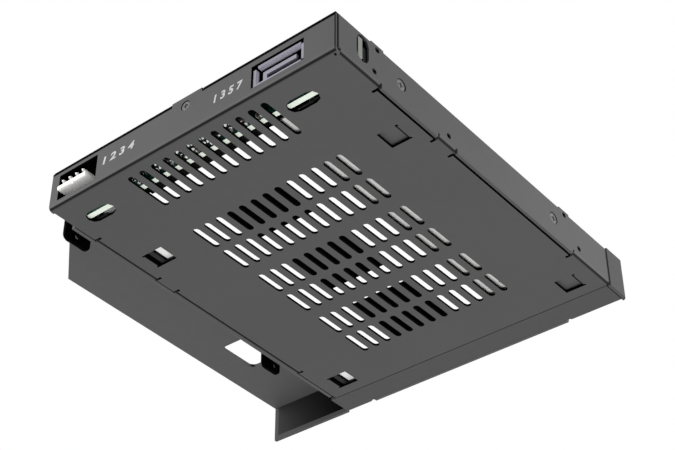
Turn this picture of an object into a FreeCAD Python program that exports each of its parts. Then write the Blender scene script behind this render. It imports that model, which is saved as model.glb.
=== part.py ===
"""Hot swap cage for one 2.5 inch drive, in the space of a slim optical drive.

The cage is folded from black coated sheet steel. A tray on two guide rails slides out
through the front bezel, and a small board at the rear passes power and data through.
Places are measured from the middle of the width, from the front face of the bezel
(+Y runs to the rear) and from the underside of the floor. Millimetres throughout.
"""

import FreeCAD, Part
import math
import os

V = FreeCAD.Vector

# Space that the cage fills
BAY_WIDTH = 128.0
BAY_DEPTH = 128.6
BAY_HEIGHT = 12.7

# Flat sides that stand for small round forms: a slot's half-round end, a whole turned body
SLOT_END_SIDES = 4
TURNED_SIDES = 12

# Sheet thicknesses and bends
CASE_SHEET = 0.8
COVER_SHEET = 0.6
WING_SHEET = 1.0
BEZEL_SHEET = 1.0
TRAY_SHEET = 0.6
CASE_BEND = 0.5
WING_BEND = 0.4
BEZEL_BEND = 0.3
TRAY_BEND = 0.3
SEAM = 0.3
SLIT = 0.7

# Lower case
CASE_INSET = 0.2
CASE_WIDTH = 97.0
REAR_WALL_INSET = 0.35
JOINED_FRONT = 17.5
JOINED_MIDDLE = 6.6
JOINED_MIDDLE_FROM_REAR = 44.0
JOINED_REAR = 16.6
RELIEF_WIDTH = 0.8
RELIEF_REACH = 1.4
LUG_LENGTH = 4.8
LUG_FRONT = 30.2
LUG_FROM_REAR = 15.8
REAR_TAB_LENGTH = 10.2
REAR_TAB_ASIDE = 5.3
REAR_NOTCH_WIDTH = 0.6
REAR_NOTCH_DEPTH = 0.6

# Vent slots in the floor
VENT_WIDTH = 2.0
VENT_PITCH = 4.05
VENT_COLUMNS = 13
VENT_ASIDE = 5.2
VENT_LENGTH = 9.8
VENT_ROWS_FROM_REAR = (99.55, 87.4, 73.2, 61.15, 46.75, 34.75)
REAR_VENT_LENGTH = 14.5
REAR_VENT_FROM_REAR = 10.65
REAR_VENT_COLUMNS = 12
REAR_VENT_PITCH = 4.07

# Clips that are cut from the floor and bent up beside the rails
CLIP_WIDTH = 6.4
CLIP_REACH = 5.7
CLIP_REACH_LEFT = 4.9
CLIP_SLOT = 0.6
CLIP_NOTCH = 1.4
CLIP_FRONT = 16.0
CLIP_FROM_REAR = 33.1
CLIP_SHARE_LEFT = 0.367

# Bezel
BEZEL_FLANGE = 8.85
BEZEL_RETURN_BEYOND = 1.1
DOOR_WIDTH = 71.8
DOOR_FROM_RIGHT = 7.9
DOOR_LINTEL = 0.8
DOOR_GAP = 1.3
BEZEL_CHAMFER = 1.0

# Wing beside the case
WING_FLANGE_BOTTOM = 0.4
WING_FLANGE_FRONT = 10.0
WING_FLANGE_FROM_REAR = 9.8
WING_LEDGE_FROM_REAR = 35.1
WING_SHOULDER_FROM_REAR = 20.6
WING_CORNER_SHARE = 0.65
EAR_BEYOND = 6.4
EAR_BOTTOM = 0.8
EAR_LENGTHS = (7.6, 9.2)
EAR_FRONT = 32.2
EAR_FROM_REAR = 15.8
EAR_RADIUS = 1.8
EAR_BEND = 0.9
EAR_HOLE_FRONT = 30.5
EAR_HOLE_FROM_REAR = 15.6
WING_WINDOW_SHARE = 0.55
WING_WINDOW_MARGIN = 0.7
WING_WINDOW_FRONT = 24.0
WING_WINDOW_REAR = 38.5
WING_WINDOW_RADIUS = 2.0

# Fixing holes
MOUNT_HOLE_RADIUS = 0.85
MOUNT_HOLE_HEIGHT = 3.4
MOUNT_HOLE_FRONT = 24.0
MOUNT_HOLE_SPAN = 60.0
MOUNT_HOLE_FROM_REAR = 14.5
LUG_HOLE_DROP = 0.9
SCREW_RADIUS = 0.9
SCREW_HEAD_RADIUS = 1.8
SCREW_HEAD_HEIGHT = 0.75
SCREW_LENGTH = 4.2
SCREW_CLEARANCE = 0.05
WALL_SCREW_HEIGHT = 6.75
WALL_SCREW_FRONT = 36.0
WALL_SCREW_FROM_REAR = 25.3
REAR_SCREW_ASIDE = 4.9
REAR_SCREW_HEIGHT = 9.7
REAR_SCREW_HEAD = 1.5
TRAY_SCREW_HEAD = 1.5
TRAY_SCREW_LENGTH = 2.6

# Cover
COVER_INSET = 0.4
COVER_FLANGE_DEPTH = 2.4
WINDOW_LEFT_ASIDE = 16.4
WINDOW_RIGHT_ASIDE = 32.2
WINDOW_FRONT = 8.9
WINDOW_FROM_REAR = 21.6
LAND_COUNT = 3
LAND_SIDE = 21.2
LAND_PITCH = 31.6
LAND_FIRST_FROM_REAR = 108.1
LAND_ASIDE = 9.46
RIB_WIDTH = 1.6
RIB_PITCH = 12.74

# Tray and the drive that it carries
DRIVE_WIDTH = 69.85
DRIVE_SLACK = 0.15
DRIVE_PLUG_DEPTH = 3.1
DRIVE_HOLE_SPAN = 61.72
DRIVE_HOLE_REAR = 14.0
DRIVE_HOLE_FRONT = 90.6
DRIVE_SIDE_HOLE_HEIGHT = 3.0
DRIVE_HOLE_RADIUS = 1.7
TRAY_RISE = 1.5
TRAY_SHELF = 12.2
TRAY_WALL = 7.4
TRAY_SHORT_OF_BOARD = 2.1
TRAY_CROSS_FRONT = 8.0
TRAY_CROSS_DEPTH = 10.0
TRAY_CROSS_FROM_END = 18.4
SLIDE_GAP = 0.3

# Tray face, lever and button
FACE_PLATE = 1.0
FACE_DEPTH = 7.4
FACE_WALL = 1.1
FACE_FOOT = 0.15
POCKET_LEFT = 1.3
POCKET_LENGTH = 48.4
POCKET_HEIGHT = 6.6
POCKET_DEPTH = 4.1
LEVER_THICK = 2.0
LEVER_HEIGHT = 6.0
KNUCKLE_RADIUS = 1.9
PIN_RADIUS = 0.6
PIN_PLAY = 0.05
LEVER_GRIP = 12.0
LEVER_SCALLOP = 9.0
LEVER_SCALLOP_DEPTH = 1.0
LEVER_SPRING_PLACE = 8.0
LEVER_SPRING_LENGTH = 12.0
LEVER_SPRING_FOOT = 0.8
LEVER_END_GAP = 0.6
BUTTON_WIDTH = 6.4
BUTTON_HEIGHT = 5.2
BUTTON_SPACE = 6.6
BUTTON_PLAY = 0.2
BUTTON_DEPTH = 3.2
BUTTON_FLANGE = 0.7
DISH_RADIUS = 12.0
DISH_DEPTH = 0.35
BUTTON_SPRING_RADIUS = 1.2
BUTTON_WIRE = 0.35
BUTTON_TURNS = 3
COIL_SIDES = 8
FACE_VENT_LENGTH = 3.0
FACE_VENT_HEIGHT = 0.9
FACE_VENT_PITCH = 4.4

# Guide rails
RAIL_GAP = 0.6
RAIL_WALL = 0.8
RAIL_BOTTOM = 1.1
RAIL_TOP = 9.4
RAIL_SHORT_OF_BOARD = 1.1
LIP_REACH = 3.3
LIP_THICK = 0.5
FOOT_RISE = 0.4
FOOT_GAP = 0.2
RIB_THICK = 0.9
RAIL_RIB_PITCH = 21.0
RAIL_RIB_DROP = 2.8
BOSS_RADIUS = 2.1
SPRING_FROM_REAR = 32.6
SPRING_LENGTH = 15.0
SPRING_HEIGHT = 4.0
SPRING_SHEET = 0.25
SPRING_GAP = 0.25
SPRING_WINDOW_LOW = 3.3
SPRING_WINDOW_HIGH = 7.8
SPRING_FOOT = 2.0

# Board and its connectors
BOARD_FROM_REAR = 10.1
BOARD_THICK = 1.6
BOARD_RISE = 0.1
BOARD_EAR_LOW = 4.3
BOARD_EAR_HIGH = 10.7
WALL_SLOT_WIDTH = 4.7
WALL_SLOT_LOW = 3.2
WALL_SLOT_HIGH = 11.8
WALL_SLOT_FORWARD = 0.8
FLOOR_OVAL_FROM_LEFT = 17.55
FLOOR_OVAL_FROM_RIGHT = 10.45
FLOOR_OVAL_LENGTH = 9.5
FLOOR_OVAL_WIDTH = 4.6
RECEPTACLE_WIDTH = 44.0
RECEPTACLE_DEPTH = 4.2
RECEPTACLE_LOW = 2.6
RECEPTACLE_HIGH = 8.4
CONTACT_PITCH = 1.27
CONTACT_WIDTH = 0.6
DATA_FROM_LEFT = 18.05
DATA_WIDTH = 15.9
DATA_HEIGHT = 6.5
DATA_MIDDLE = 6.15
DATA_WALL = 0.8
DATA_REACH = 8.0
DATA_NOTCH_DEPTH = 4.5
DATA_TONGUE_ASIDE = 0.3
DATA_OPENING_GAP = 0.3
POWER_FROM_RIGHT = 8.7
POWER_WIDTH = 10.4
POWER_OPENING_FROM_RIGHT = 3.2
POWER_OPENING_WIDTH = 14.3
POWER_OPENING_LOW = 2.0
POWER_OPENING_HIGH = 10.3
POWER_PITCH = 2.5
POWER_PINS = 4
POWER_PIN_SIDE = 0.64
POWER_PIN_HEIGHT = 7.6
POWER_SHELF_TOP = 6.1
POWER_SHELF_THICK = 1.1
POWER_NOTCH_WIDTH = 0.8
POWER_NOTCH_DEPTH = 0.5
POWER_PROUD = 0.6

# Status lights
LIGHT_FROM_RIGHT = 3.7
LIGHT_RADIUS = 0.75
LIGHT_HEIGHTS = (2.2, 3.8)
LED_DEPTH = 0.8

# Chips and capacitors: place as a share of half the board, height, width and height of the body
CHIPS = ((-0.27, 5.6, 5.0, 4.0), (-0.07, 4.6, 3.2, 2.8), (0.5, 6.2, 6.4, 3.6), (0.25, 4.4, 2.9, 1.6))
CHIP_DEPTH = 1.3
CAPACITOR_COUNT = 9
CAPACITOR_FIRST = -0.38
CAPACITOR_PITCH = 0.106
CAPACITOR_WIDTH = 2.0
CAPACITOR_DEPTH = 0.9
CAPACITOR_LOW = 1.5
CAPACITOR_HIGH = 2.7

# Places worked out from the sizes above
CASE_LEFT = -BAY_WIDTH / 2 + CASE_INSET
CASE_RIGHT = CASE_LEFT + CASE_WIDTH
CASE_MIDDLE = (CASE_LEFT + CASE_RIGHT) / 2
CASE_FRONT = BEZEL_FLANGE + SEAM
CASE_EDGE = CASE_SHEET + CASE_BEND
WALL_TOP = BAY_HEIGHT - COVER_SHEET
WALL_REAR = BAY_DEPTH - CASE_SHEET - SEAM
INNER_LEFT = CASE_LEFT + CASE_SHEET
INNER_RIGHT = CASE_RIGHT - CASE_SHEET
DOOR_RIGHT = CASE_RIGHT - DOOR_FROM_RIGHT
DOOR_LEFT = DOOR_RIGHT - DOOR_WIDTH
TRAY_MIDDLE = (DOOR_LEFT + DOOR_RIGHT) / 2
VENT_MIDDLE = TRAY_MIDDLE - VENT_ASIDE
LAND_MIDDLE = TRAY_MIDDLE + LAND_ASIDE
REAR_TAB_PLACE = TRAY_MIDDLE - REAR_TAB_ASIDE
REAR_SCREW_PLACE = TRAY_MIDDLE - REAR_SCREW_ASIDE
BEZEL_RETURN = CASE_RIGHT + BEZEL_RETURN_BEYOND
EAR_PLACE = CASE_RIGHT + EAR_BEYOND
EAR_PLACES = (EAR_FRONT, BAY_DEPTH - EAR_FROM_REAR)
EAR_HOLE_PLACES = (EAR_HOLE_FRONT, BAY_DEPTH - EAR_HOLE_FROM_REAR)
LEDGE_WIDTH = BAY_WIDTH / 2 - EAR_PLACE
LUG_PLACES = (LUG_FRONT, BAY_DEPTH - LUG_FROM_REAR)
CLIP_PLACES = (CLIP_FRONT, BAY_DEPTH - CLIP_FROM_REAR)
MOUNT_HOLE_PLACES = (MOUNT_HOLE_FRONT, MOUNT_HOLE_FRONT + MOUNT_HOLE_SPAN,
                     BAY_DEPTH - MOUNT_HOLE_FROM_REAR)
WALL_SCREW_PLACES = (WALL_SCREW_FRONT, BAY_DEPTH - WALL_SCREW_FROM_REAR)
SPRING_PLACE = BAY_DEPTH - SPRING_FROM_REAR
BOARD_FRONT = BAY_DEPTH - BOARD_FROM_REAR
TRAY_REAR = BOARD_FRONT - TRAY_SHORT_OF_BOARD
RAIL_REAR = BOARD_FRONT - RAIL_SHORT_OF_BOARD
TRAY_HALF = (DRIVE_WIDTH + DRIVE_SLACK) / 2 + TRAY_SHEET
TRAY_LEFT = TRAY_MIDDLE - TRAY_HALF
TRAY_RIGHT = TRAY_MIDDLE + TRAY_HALF
DRIVE_FLOOR = TRAY_RISE + TRAY_SHEET
DRIVE_REAR = BOARD_FRONT - RECEPTACLE_DEPTH + DRIVE_PLUG_DEPTH
RAIL_FACE = TRAY_HALF + RAIL_GAP
FACE_LEFT = DOOR_LEFT + DOOR_GAP
FACE_RIGHT = DOOR_RIGHT - DOOR_GAP
FACE_LOW = BEZEL_SHEET + SLIDE_GAP + 0.05
FACE_TOP = BAY_HEIGHT - DOOR_LINTEL - SLIDE_GAP
POCKET_MIDDLE = (FACE_LOW + FACE_TOP) / 2
PIN_X = FACE_LEFT + POCKET_LEFT + KNUCKLE_RADIUS + 0.5
BOARD_REAR = BOARD_FRONT + BOARD_THICK
BOARD_LOW = CASE_SHEET + BOARD_RISE
BOARD_TOP = WALL_TOP - 0.2
BOARD_LEFT = INNER_LEFT + 0.3
BOARD_RIGHT = INNER_RIGHT - 0.3
DATA_PLACE = CASE_LEFT + DATA_FROM_LEFT
POWER_PLACE = CASE_RIGHT - POWER_FROM_RIGHT
LIGHT_PLACE = CASE_RIGHT - LIGHT_FROM_RIGHT
FLOOR_OVAL_PLACES = (CASE_LEFT + FLOOR_OVAL_FROM_LEFT, CASE_RIGHT - FLOOR_OVAL_FROM_RIGHT)
DEPTH_OVER_ALL = BAY_DEPTH + POWER_PROUD


def block(x0, x1, y0, y1, z0, z1):
    """A box between two corners."""
    return Part.makeBox(x1 - x0, y1 - y0, z1 - z0, V(x0, y0, z0))


def rod(x, y, z, radius, length, axis):
    """A round bar that starts at a point and runs along an axis."""
    return Part.makeCylinder(radius, length, V(x, y, z), axis)


def placed(point, plane, offset):
    """A flat point set in space: plane X holds (y, z), Y holds (x, z), Z holds (x, y)."""
    a, b = point
    return {"X": V(offset, a, b), "Y": V(a, offset, b), "Z": V(a, b, offset)}[plane]


def extrusion(wire, plane, length):
    """A closed wire carried along the axis that its plane is named after."""
    direction = {"X": V(length, 0, 0), "Y": V(0, length, 0), "Z": V(0, 0, length)}[plane]
    return Part.Face(wire).extrude(direction)


def corner(before, point, after, radius):
    """Start, middle and end of the arc that rounds one corner of an outline."""
    to_before = (before - point).normalize()
    to_after = (after - point).normalize()
    half = to_before.getAngle(to_after) / 2
    reach = radius / math.tan(half)
    inward = (to_before + to_after).normalize()
    middle = point + inward * (radius / math.sin(half) - radius)
    return point + to_before * reach, middle, point + to_after * reach


def outline(points, radii, plane, offset, closed=True):
    """Straight edges joined by arcs of the given radii, in a plane."""
    corners = [placed(point, plane, offset) for point in points]
    count = len(corners)
    starts = []
    ends = []
    arcs = []
    for i, point in enumerate(corners):
        inside = closed or 0 < i < count - 1
        if inside and radii[i] > 0:
            start, middle, end = corner(corners[i - 1], point, corners[(i + 1) % count], radii[i])
            arcs.append(Part.Arc(start, middle, end).toShape())
        else:
            start = end = point
            arcs.append(None)
        starts.append(start)
        ends.append(end)
    edges = []
    last = count if closed else count - 1
    for i in range(last):
        if arcs[i] is not None:
            edges.append(arcs[i])
        following = starts[(i + 1) % count]
        if (following - ends[i]).Length > 1e-6:
            edges.append(Part.LineSegment(ends[i], following).toShape())
    if not closed and arcs[-1] is not None:
        edges.append(arcs[-1])
    return Part.Wire(edges)


def prism(points, plane, start, end, radius=0.0):
    """A closed outline, every corner rounded alike, carried from start to end."""
    wire = outline(points, [radius] * len(points), plane, start)
    return extrusion(wire, plane, end - start)


def shifted(points, distance):
    """The line that runs at a distance to the left of a line of points."""
    lines = []
    for (ax, ay), (bx, by) in zip(points, points[1:]):
        length = math.hypot(bx - ax, by - ay)
        nx = -(by - ay) / length * distance
        ny = (bx - ax) / length * distance
        lines.append(((ax + nx, ay + ny), (bx + nx, by + ny)))
    moved = [lines[0][0]]
    for (p, q), (r, s) in zip(lines, lines[1:]):
        dx1, dy1 = q[0] - p[0], q[1] - p[1]
        dx2, dy2 = s[0] - r[0], s[1] - r[1]
        share = ((r[0] - p[0]) * dy2 - (r[1] - p[1]) * dx2) / (dx1 * dy2 - dy1 * dx2)
        moved.append((p[0] + share * dx1, p[1] + share * dy1))
    moved.append(lines[-1][1])
    return moved


def folded(points, sheet, bend, plane, start, end):
    """Sheet folded along points, with its thickness to the left of the line."""
    near = [0.0]
    far = [0.0]
    for before, point, after in zip(points, points[1:], points[2:]):
        turn = ((point[0] - before[0]) * (after[1] - point[1])
                - (point[1] - before[1]) * (after[0] - point[0]))
        near.append(bend + sheet if turn > 0 else bend)
        far.append(bend if turn > 0 else bend + sheet)
    near.append(0.0)
    far.append(0.0)
    back = shifted(points, sheet)
    wire = outline(points + back[::-1], near + far[::-1], plane, start)
    return extrusion(wire, plane, end - start)


def slot(a0, a1, b0, b1, plane, start, end):
    """A slot through a plane; each half-round end has a few straight sides."""
    radius = min(a1 - a0, b1 - b0) / 2
    first = 0.0 if b1 - b0 > a1 - a0 else -math.pi / 2
    points = []
    for half, (a, b) in enumerate(((a1 - radius, b1 - radius), (a0 + radius, b0 + radius))):
        for i in range(SLOT_END_SIDES + 1):
            angle = first + math.pi * (half + i / SLOT_END_SIDES)
            points.append((a + radius * math.cos(angle), b + radius * math.sin(angle)))
    return prism(points, plane, start, end)


def turned(point, direction, stations):
    """A level body of many flat sides through rings given as (distance, radius)."""
    across = direction.cross(V(0, 0, 1))
    rings = []
    for distance, radius in stations:
        ring = []
        for i in range(TURNED_SIDES):
            angle = 2 * math.pi * (i + 0.5) / TURNED_SIDES
            spoke = across * (radius * math.cos(angle)) + V(0, 0, radius * math.sin(angle))
            ring.append(point + direction * distance + spoke)
        rings.append(ring)
    faces = [Part.Face(Part.makePolygon(ring + ring[:1])) for ring in (rings[0], rings[-1])]
    for near, far in zip(rings, rings[1:]):
        for i in range(TURNED_SIDES):
            j = (i + 1) % TURNED_SIDES
            side = Part.makePolygon([near[i], near[j], far[j], far[i], near[i]])
            faces.append(Part.Face(side))
    shell = Part.makeShell(faces)
    shell.sewShape()
    solid = Part.makeSolid(shell)
    if solid.Volume < 0:
        solid.reverse()
    return solid


def mirrored(shape, x):
    """The shape on the other side of a plane across the width."""
    return shape.mirror(V(x, 0, 0), V(1, 0, 0))


def fused(shapes):
    """Touching shapes joined into one solid."""
    whole = shapes[0].multiFuse(shapes[1:]) if len(shapes) > 1 else shapes[0]
    return whole.removeSplitter()


def cut(shape, tools):
    """A shape with all the tools taken out of it."""
    return shape.cut(Part.makeCompound(tools)) if len(tools) == 1 else shape.cut(tools)


def flat_screw(point, direction, head_radius, length):
    """A countersunk screw, its head flush at a point, running along a direction."""
    stations = [(0.0, head_radius), (SCREW_HEAD_HEIGHT, SCREW_RADIUS), (length, SCREW_RADIUS)]
    return turned(point, direction, stations)


def screw_hole(point, direction, head_radius, length):
    """The countersunk hole that a flat screw sits in, a little wider all round."""
    ease = SCREW_CLEARANCE
    stations = [(-ease, head_radius + ease), (0.0, head_radius + ease),
                (SCREW_HEAD_HEIGHT, SCREW_RADIUS + ease), (length + ease, SCREW_RADIUS + ease)]
    return turned(point, direction, stations)


def wall_screw_sites(side):
    """Point and direction of each screw through a side wall; side is -1 or 1."""
    face = CASE_LEFT if side < 0 else CASE_RIGHT + WING_SHEET
    return [(V(face, y, WALL_SCREW_HEIGHT), V(-side, 0, 0)) for y in WALL_SCREW_PLACES]


def bezel_screw_sites():
    """Point and direction of the two screws through the bezel into the rails."""
    left = (INNER_LEFT + TRAY_MIDDLE - RAIL_FACE) / 2
    right = (INNER_RIGHT + TRAY_MIDDLE + RAIL_FACE) / 2
    return [(V(x, 0, RAIL_TOP - 1.9), V(0, 1, 0)) for x in (left, right)]


def rear_screw_site():
    """Point and direction of the screw through the rear wall into the cover."""
    return V(REAR_SCREW_PLACE, BAY_DEPTH, REAR_SCREW_HEIGHT), V(0, -1, 0)


def joined_stretches():
    """Where a side wall is bent up from the floor; elsewhere a slit parts the two."""
    middle = BAY_DEPTH - JOINED_MIDDLE_FROM_REAR
    return [(CASE_FRONT, CASE_FRONT + JOINED_FRONT),
            (middle - JOINED_MIDDLE / 2, middle + JOINED_MIDDLE / 2),
            (BAY_DEPTH - JOINED_REAR, BAY_DEPTH - CASE_EDGE - 0.5)]


def side_wall():
    """The left side wall, with its bends, lugs and the notches that end each bend."""
    high = CASE_EDGE + 0.1
    pieces = [block(CASE_LEFT, INNER_LEFT, CASE_FRONT, WALL_REAR, high, WALL_TOP)]
    edge = CASE_LEFT + CASE_EDGE
    stretches = joined_stretches()
    for y0, y1 in stretches:
        line = [(CASE_LEFT, high), (CASE_LEFT, 0.0), (edge + 1.0, 0.0)]
        pieces.append(folded(line, CASE_SHEET, CASE_BEND, "Y", y0, y1))
    for (_, y0), (y1, _) in zip(stretches, stretches[1:]):
        pieces.append(block(CASE_LEFT, INNER_LEFT, y0 + RELIEF_WIDTH, y1 - RELIEF_WIDTH, 0.0, high))
    for y in LUG_PLACES:
        pieces.append(block(CASE_LEFT, INNER_LEFT, y - LUG_LENGTH / 2, y + LUG_LENGTH / 2,
                            high, BAY_HEIGHT))
    return fused(pieces)


def side_wall_holes():
    """Fixing holes of the left wall, and the screw holes of both; the wing covers the right one."""
    places = [(y, MOUNT_HOLE_HEIGHT) for y in MOUNT_HOLE_PLACES]
    places += [(y, WALL_TOP - LUG_HOLE_DROP) for y in LUG_PLACES]
    holes = [rod(CASE_LEFT - 1, y, z, MOUNT_HOLE_RADIUS, CASE_SHEET + 2, V(1, 0, 0))
             for y, z in places]
    for point, direction in wall_screw_sites(-1) + wall_screw_sites(1):
        holes.append(screw_hole(point, direction, SCREW_HEAD_RADIUS, SCREW_LENGTH))
    return holes


def vent_slots():
    """All the slots that ventilate the floor, as tools to cut with."""
    slots = []
    first = VENT_MIDDLE - VENT_PITCH * (VENT_COLUMNS - 1) / 2
    for y in [BAY_DEPTH - distance for distance in VENT_ROWS_FROM_REAR]:
        for i in range(VENT_COLUMNS):
            x = first + VENT_PITCH * i
            slots.append(slot(x - VENT_WIDTH / 2, x + VENT_WIDTH / 2, y - VENT_LENGTH / 2,
                              y + VENT_LENGTH / 2, "Z", -1, CASE_SHEET + 1))
    first = VENT_MIDDLE - REAR_VENT_PITCH * (REAR_VENT_COLUMNS - 1) / 2
    y = BAY_DEPTH - REAR_VENT_FROM_REAR
    for i in range(REAR_VENT_COLUMNS):
        x = first + REAR_VENT_PITCH * i
        slots.append(slot(x - VENT_WIDTH / 2, x + VENT_WIDTH / 2, y - REAR_VENT_LENGTH / 2,
                          y + REAR_VENT_LENGTH / 2, "Z", -1, CASE_SHEET + 1))
    return slots


def left_clip_bend():
    """Bend line of the left clips, at its share of the space between the rail and the wall."""
    space = TRAY_MIDDLE - RAIL_FACE - RAIL_WALL - INNER_LEFT
    return INNER_LEFT + space * CLIP_SHARE_LEFT


def clip_sites():
    """Bend line, place along the depth, reach and side of each clip in the floor."""
    right = TRAY_MIDDLE + RAIL_FACE + RAIL_WALL + 0.1
    left = left_clip_bend()
    sites = [(right, y, CLIP_REACH, 1) for y in CLIP_PLACES]
    sites += [(left, y, CLIP_REACH_LEFT, -1) for y in CLIP_PLACES]
    return sites


def clip_window(bend, y, reach, side):
    """The hole that a clip leaves in the floor, with the notches beside its bend."""
    y0 = y - CLIP_WIDTH / 2
    y1 = y + CLIP_WIDTH / 2
    far = bend - side * reach
    near = bend + side * CLIP_NOTCH
    return block(min(far, near), max(far, near), y0, y1, -1, CASE_SHEET + 1)


def clip_tab(bend, y, reach, side):
    """A clip: a tongue that leaves the floor and stands up at its bend line."""
    y0 = y - CLIP_WIDTH / 2 + CLIP_SLOT
    y1 = y + CLIP_WIDTH / 2 - CLIP_SLOT
    line = [(0.0, reach + 0.6), (0.0, 0.0), (CLIP_NOTCH + 0.2, 0.0)]
    tab = folded(line, CASE_SHEET, CASE_BEND, "Y", y0, y1)
    if side < 0:
        tab = mirrored(tab, 0)
    tab.translate(V(bend, 0, 0))
    return tab


def rear_wall():
    """The rear wall, bent up from the floor, with its raised tab."""
    left = CASE_LEFT + REAR_WALL_INSET
    right = CASE_RIGHT - REAR_WALL_INSET
    line = [(BAY_DEPTH - CASE_EDGE - 0.5, 0.0), (BAY_DEPTH, 0.0), (BAY_DEPTH, WALL_TOP)]
    wall = folded(line, CASE_SHEET, CASE_BEND, "X", left, right)
    tab0 = REAR_TAB_PLACE - REAR_TAB_LENGTH / 2
    tab1 = REAR_TAB_PLACE + REAR_TAB_LENGTH / 2
    front = BAY_DEPTH - CASE_SHEET
    tab = block(tab0, tab1, front, BAY_DEPTH, WALL_TOP - 1, BAY_HEIGHT)
    notches = [block(x, x + REAR_NOTCH_WIDTH, front - 1, BAY_DEPTH + 1,
                     WALL_TOP - REAR_NOTCH_DEPTH, BAY_HEIGHT + 1)
               for x in (tab0 - REAR_NOTCH_WIDTH, tab1)]
    return cut(fused([wall, tab]), notches)


def rear_openings():
    """Openings of the rear wall for the two sockets and the screw."""
    front = BAY_DEPTH - CASE_SHEET - 1
    back = BAY_DEPTH + 1
    right = CASE_RIGHT - POWER_OPENING_FROM_RIGHT
    power = block(right - POWER_OPENING_WIDTH, right, front, back, POWER_OPENING_LOW,
                  POWER_OPENING_HIGH)
    half = DATA_WIDTH / 2 + DATA_OPENING_GAP
    tall = DATA_HEIGHT / 2 + DATA_OPENING_GAP
    data = block(DATA_PLACE - half, DATA_PLACE + half, front, back, DATA_MIDDLE - tall,
                 DATA_MIDDLE + tall)
    point, direction = rear_screw_site()
    return [power, data, screw_hole(point, direction, REAR_SCREW_HEAD, CASE_SHEET + 0.6)]


def lower_case():
    """Floor, two side walls and rear wall, cut and folded from one sheet."""
    floor = block(INNER_LEFT + SLIT, INNER_RIGHT - SLIT, CASE_FRONT, BAY_DEPTH - CASE_EDGE,
                  0.0, CASE_SHEET)
    tools = vent_slots()
    tools += [clip_window(*site) for site in clip_sites()]
    middle = BOARD_FRONT + BOARD_THICK / 2
    for x in FLOOR_OVAL_PLACES:
        tools.append(slot(x - FLOOR_OVAL_LENGTH / 2, x + FLOOR_OVAL_LENGTH / 2,
                          middle - FLOOR_OVAL_WIDTH / 2, middle + FLOOR_OVAL_WIDTH / 2,
                          "Z", -1, CASE_SHEET + 1))
    reliefs = []
    edge = CASE_LEFT + CASE_EDGE
    ends = [end for stretch in joined_stretches() for end in stretch]
    for y, sign in zip(ends[1:-1], (1, -1, 1, -1)):
        y0, y1 = sorted((y, y + sign * RELIEF_WIDTH))
        reliefs.append(block(edge - 0.6, edge + RELIEF_REACH, y0, y1, -1, CASE_SHEET + 1))
    reliefs.append(block(edge - 0.3, edge + 0.3, BAY_DEPTH - CASE_EDGE - 0.5, BAY_DEPTH - CASE_EDGE + 0.3,
                         -1, CASE_SHEET + 1))
    tools += reliefs
    tools += [mirrored(shape, CASE_MIDDLE) for shape in reliefs]
    floor = cut(floor, tools)
    left = side_wall()
    right = mirrored(left, CASE_MIDDLE)
    tabs = [clip_tab(*site) for site in clip_sites()]
    whole = fused([floor, left, right, rear_wall()] + tabs)
    middle -= WALL_SLOT_FORWARD
    wall_slot = slot(middle - WALL_SLOT_WIDTH / 2, middle + WALL_SLOT_WIDTH / 2,
                     WALL_SLOT_LOW, WALL_SLOT_HIGH, "X", CASE_LEFT - 1, INNER_LEFT + 1)
    return cut(whole, side_wall_holes() + rear_openings() + [wall_slot] + reliefs[-1:])


def top_cover():
    """Cover plate with three square lands on two ribs across one long window."""
    left = CASE_LEFT + COVER_INSET
    right = CASE_RIGHT - COVER_INSET
    front = BEZEL_SHEET + 0.1
    rear = BAY_DEPTH - SEAM
    low = WALL_TOP
    plate = block(left, right, front, rear, low, BAY_HEIGHT)
    corner_cut = block(left - 1, -BAY_WIDTH / 2 + BEZEL_SHEET + 0.2, front - 1, CASE_FRONT,
                       low - 1, BAY_HEIGHT + 1)
    x0 = TRAY_MIDDLE - WINDOW_LEFT_ASIDE
    x1 = TRAY_MIDDLE + WINDOW_RIGHT_ASIDE
    y1 = BAY_DEPTH - WINDOW_FROM_REAR
    window = prism([(x0, WINDOW_FRONT), (x1, WINDOW_FRONT), (x1, y1), (x0, y1)],
                   "Z", low - 1, BAY_HEIGHT + 1, 2.0)
    notches = [corner_cut, window]
    for y in LUG_PLACES:
        reach = LUG_LENGTH / 2 + 0.2
        notches.append(block(left - 1, INNER_LEFT + 0.2, y - reach, y + reach, low - 1, BAY_HEIGHT + 1))
        notches.append(block(INNER_RIGHT - 0.2, right + 1, y - reach, y + reach, low - 1, BAY_HEIGHT + 1))
    tab = REAR_TAB_LENGTH / 2 + 0.2
    notches.append(block(REAR_TAB_PLACE - tab, REAR_TAB_PLACE + tab, BAY_DEPTH - CASE_SHEET - 0.1,
                         BAY_DEPTH + 1, low - 1, BAY_HEIGHT + 1))
    plate = cut(plate, notches)
    pieces = [plate]
    half = LAND_SIDE / 2
    first = BAY_DEPTH - LAND_FIRST_FROM_REAR
    last = first + LAND_PITCH * (LAND_COUNT - 1)
    for i in range(LAND_COUNT):
        y = first + LAND_PITCH * i
        pieces.append(block(LAND_MIDDLE - half, LAND_MIDDLE + half, y - half, y + half, low, BAY_HEIGHT))
    for sign in (-1, 1):
        x = LAND_MIDDLE + sign * RIB_PITCH / 2
        pieces.append(block(x - RIB_WIDTH / 2, x + RIB_WIDTH / 2, WINDOW_FRONT - 1, last,
                            low, BAY_HEIGHT))
    flange = cover_flange()
    pieces += [flange, mirrored(flange, CASE_MIDDLE), cover_tongue()]
    whole = fused(pieces)
    point, direction = rear_screw_site()
    hole = turned(point, direction, [(0.0, SCREW_RADIUS), (CASE_SHEET + 3, SCREW_RADIUS)])
    return cut(whole, [hole])


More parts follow.
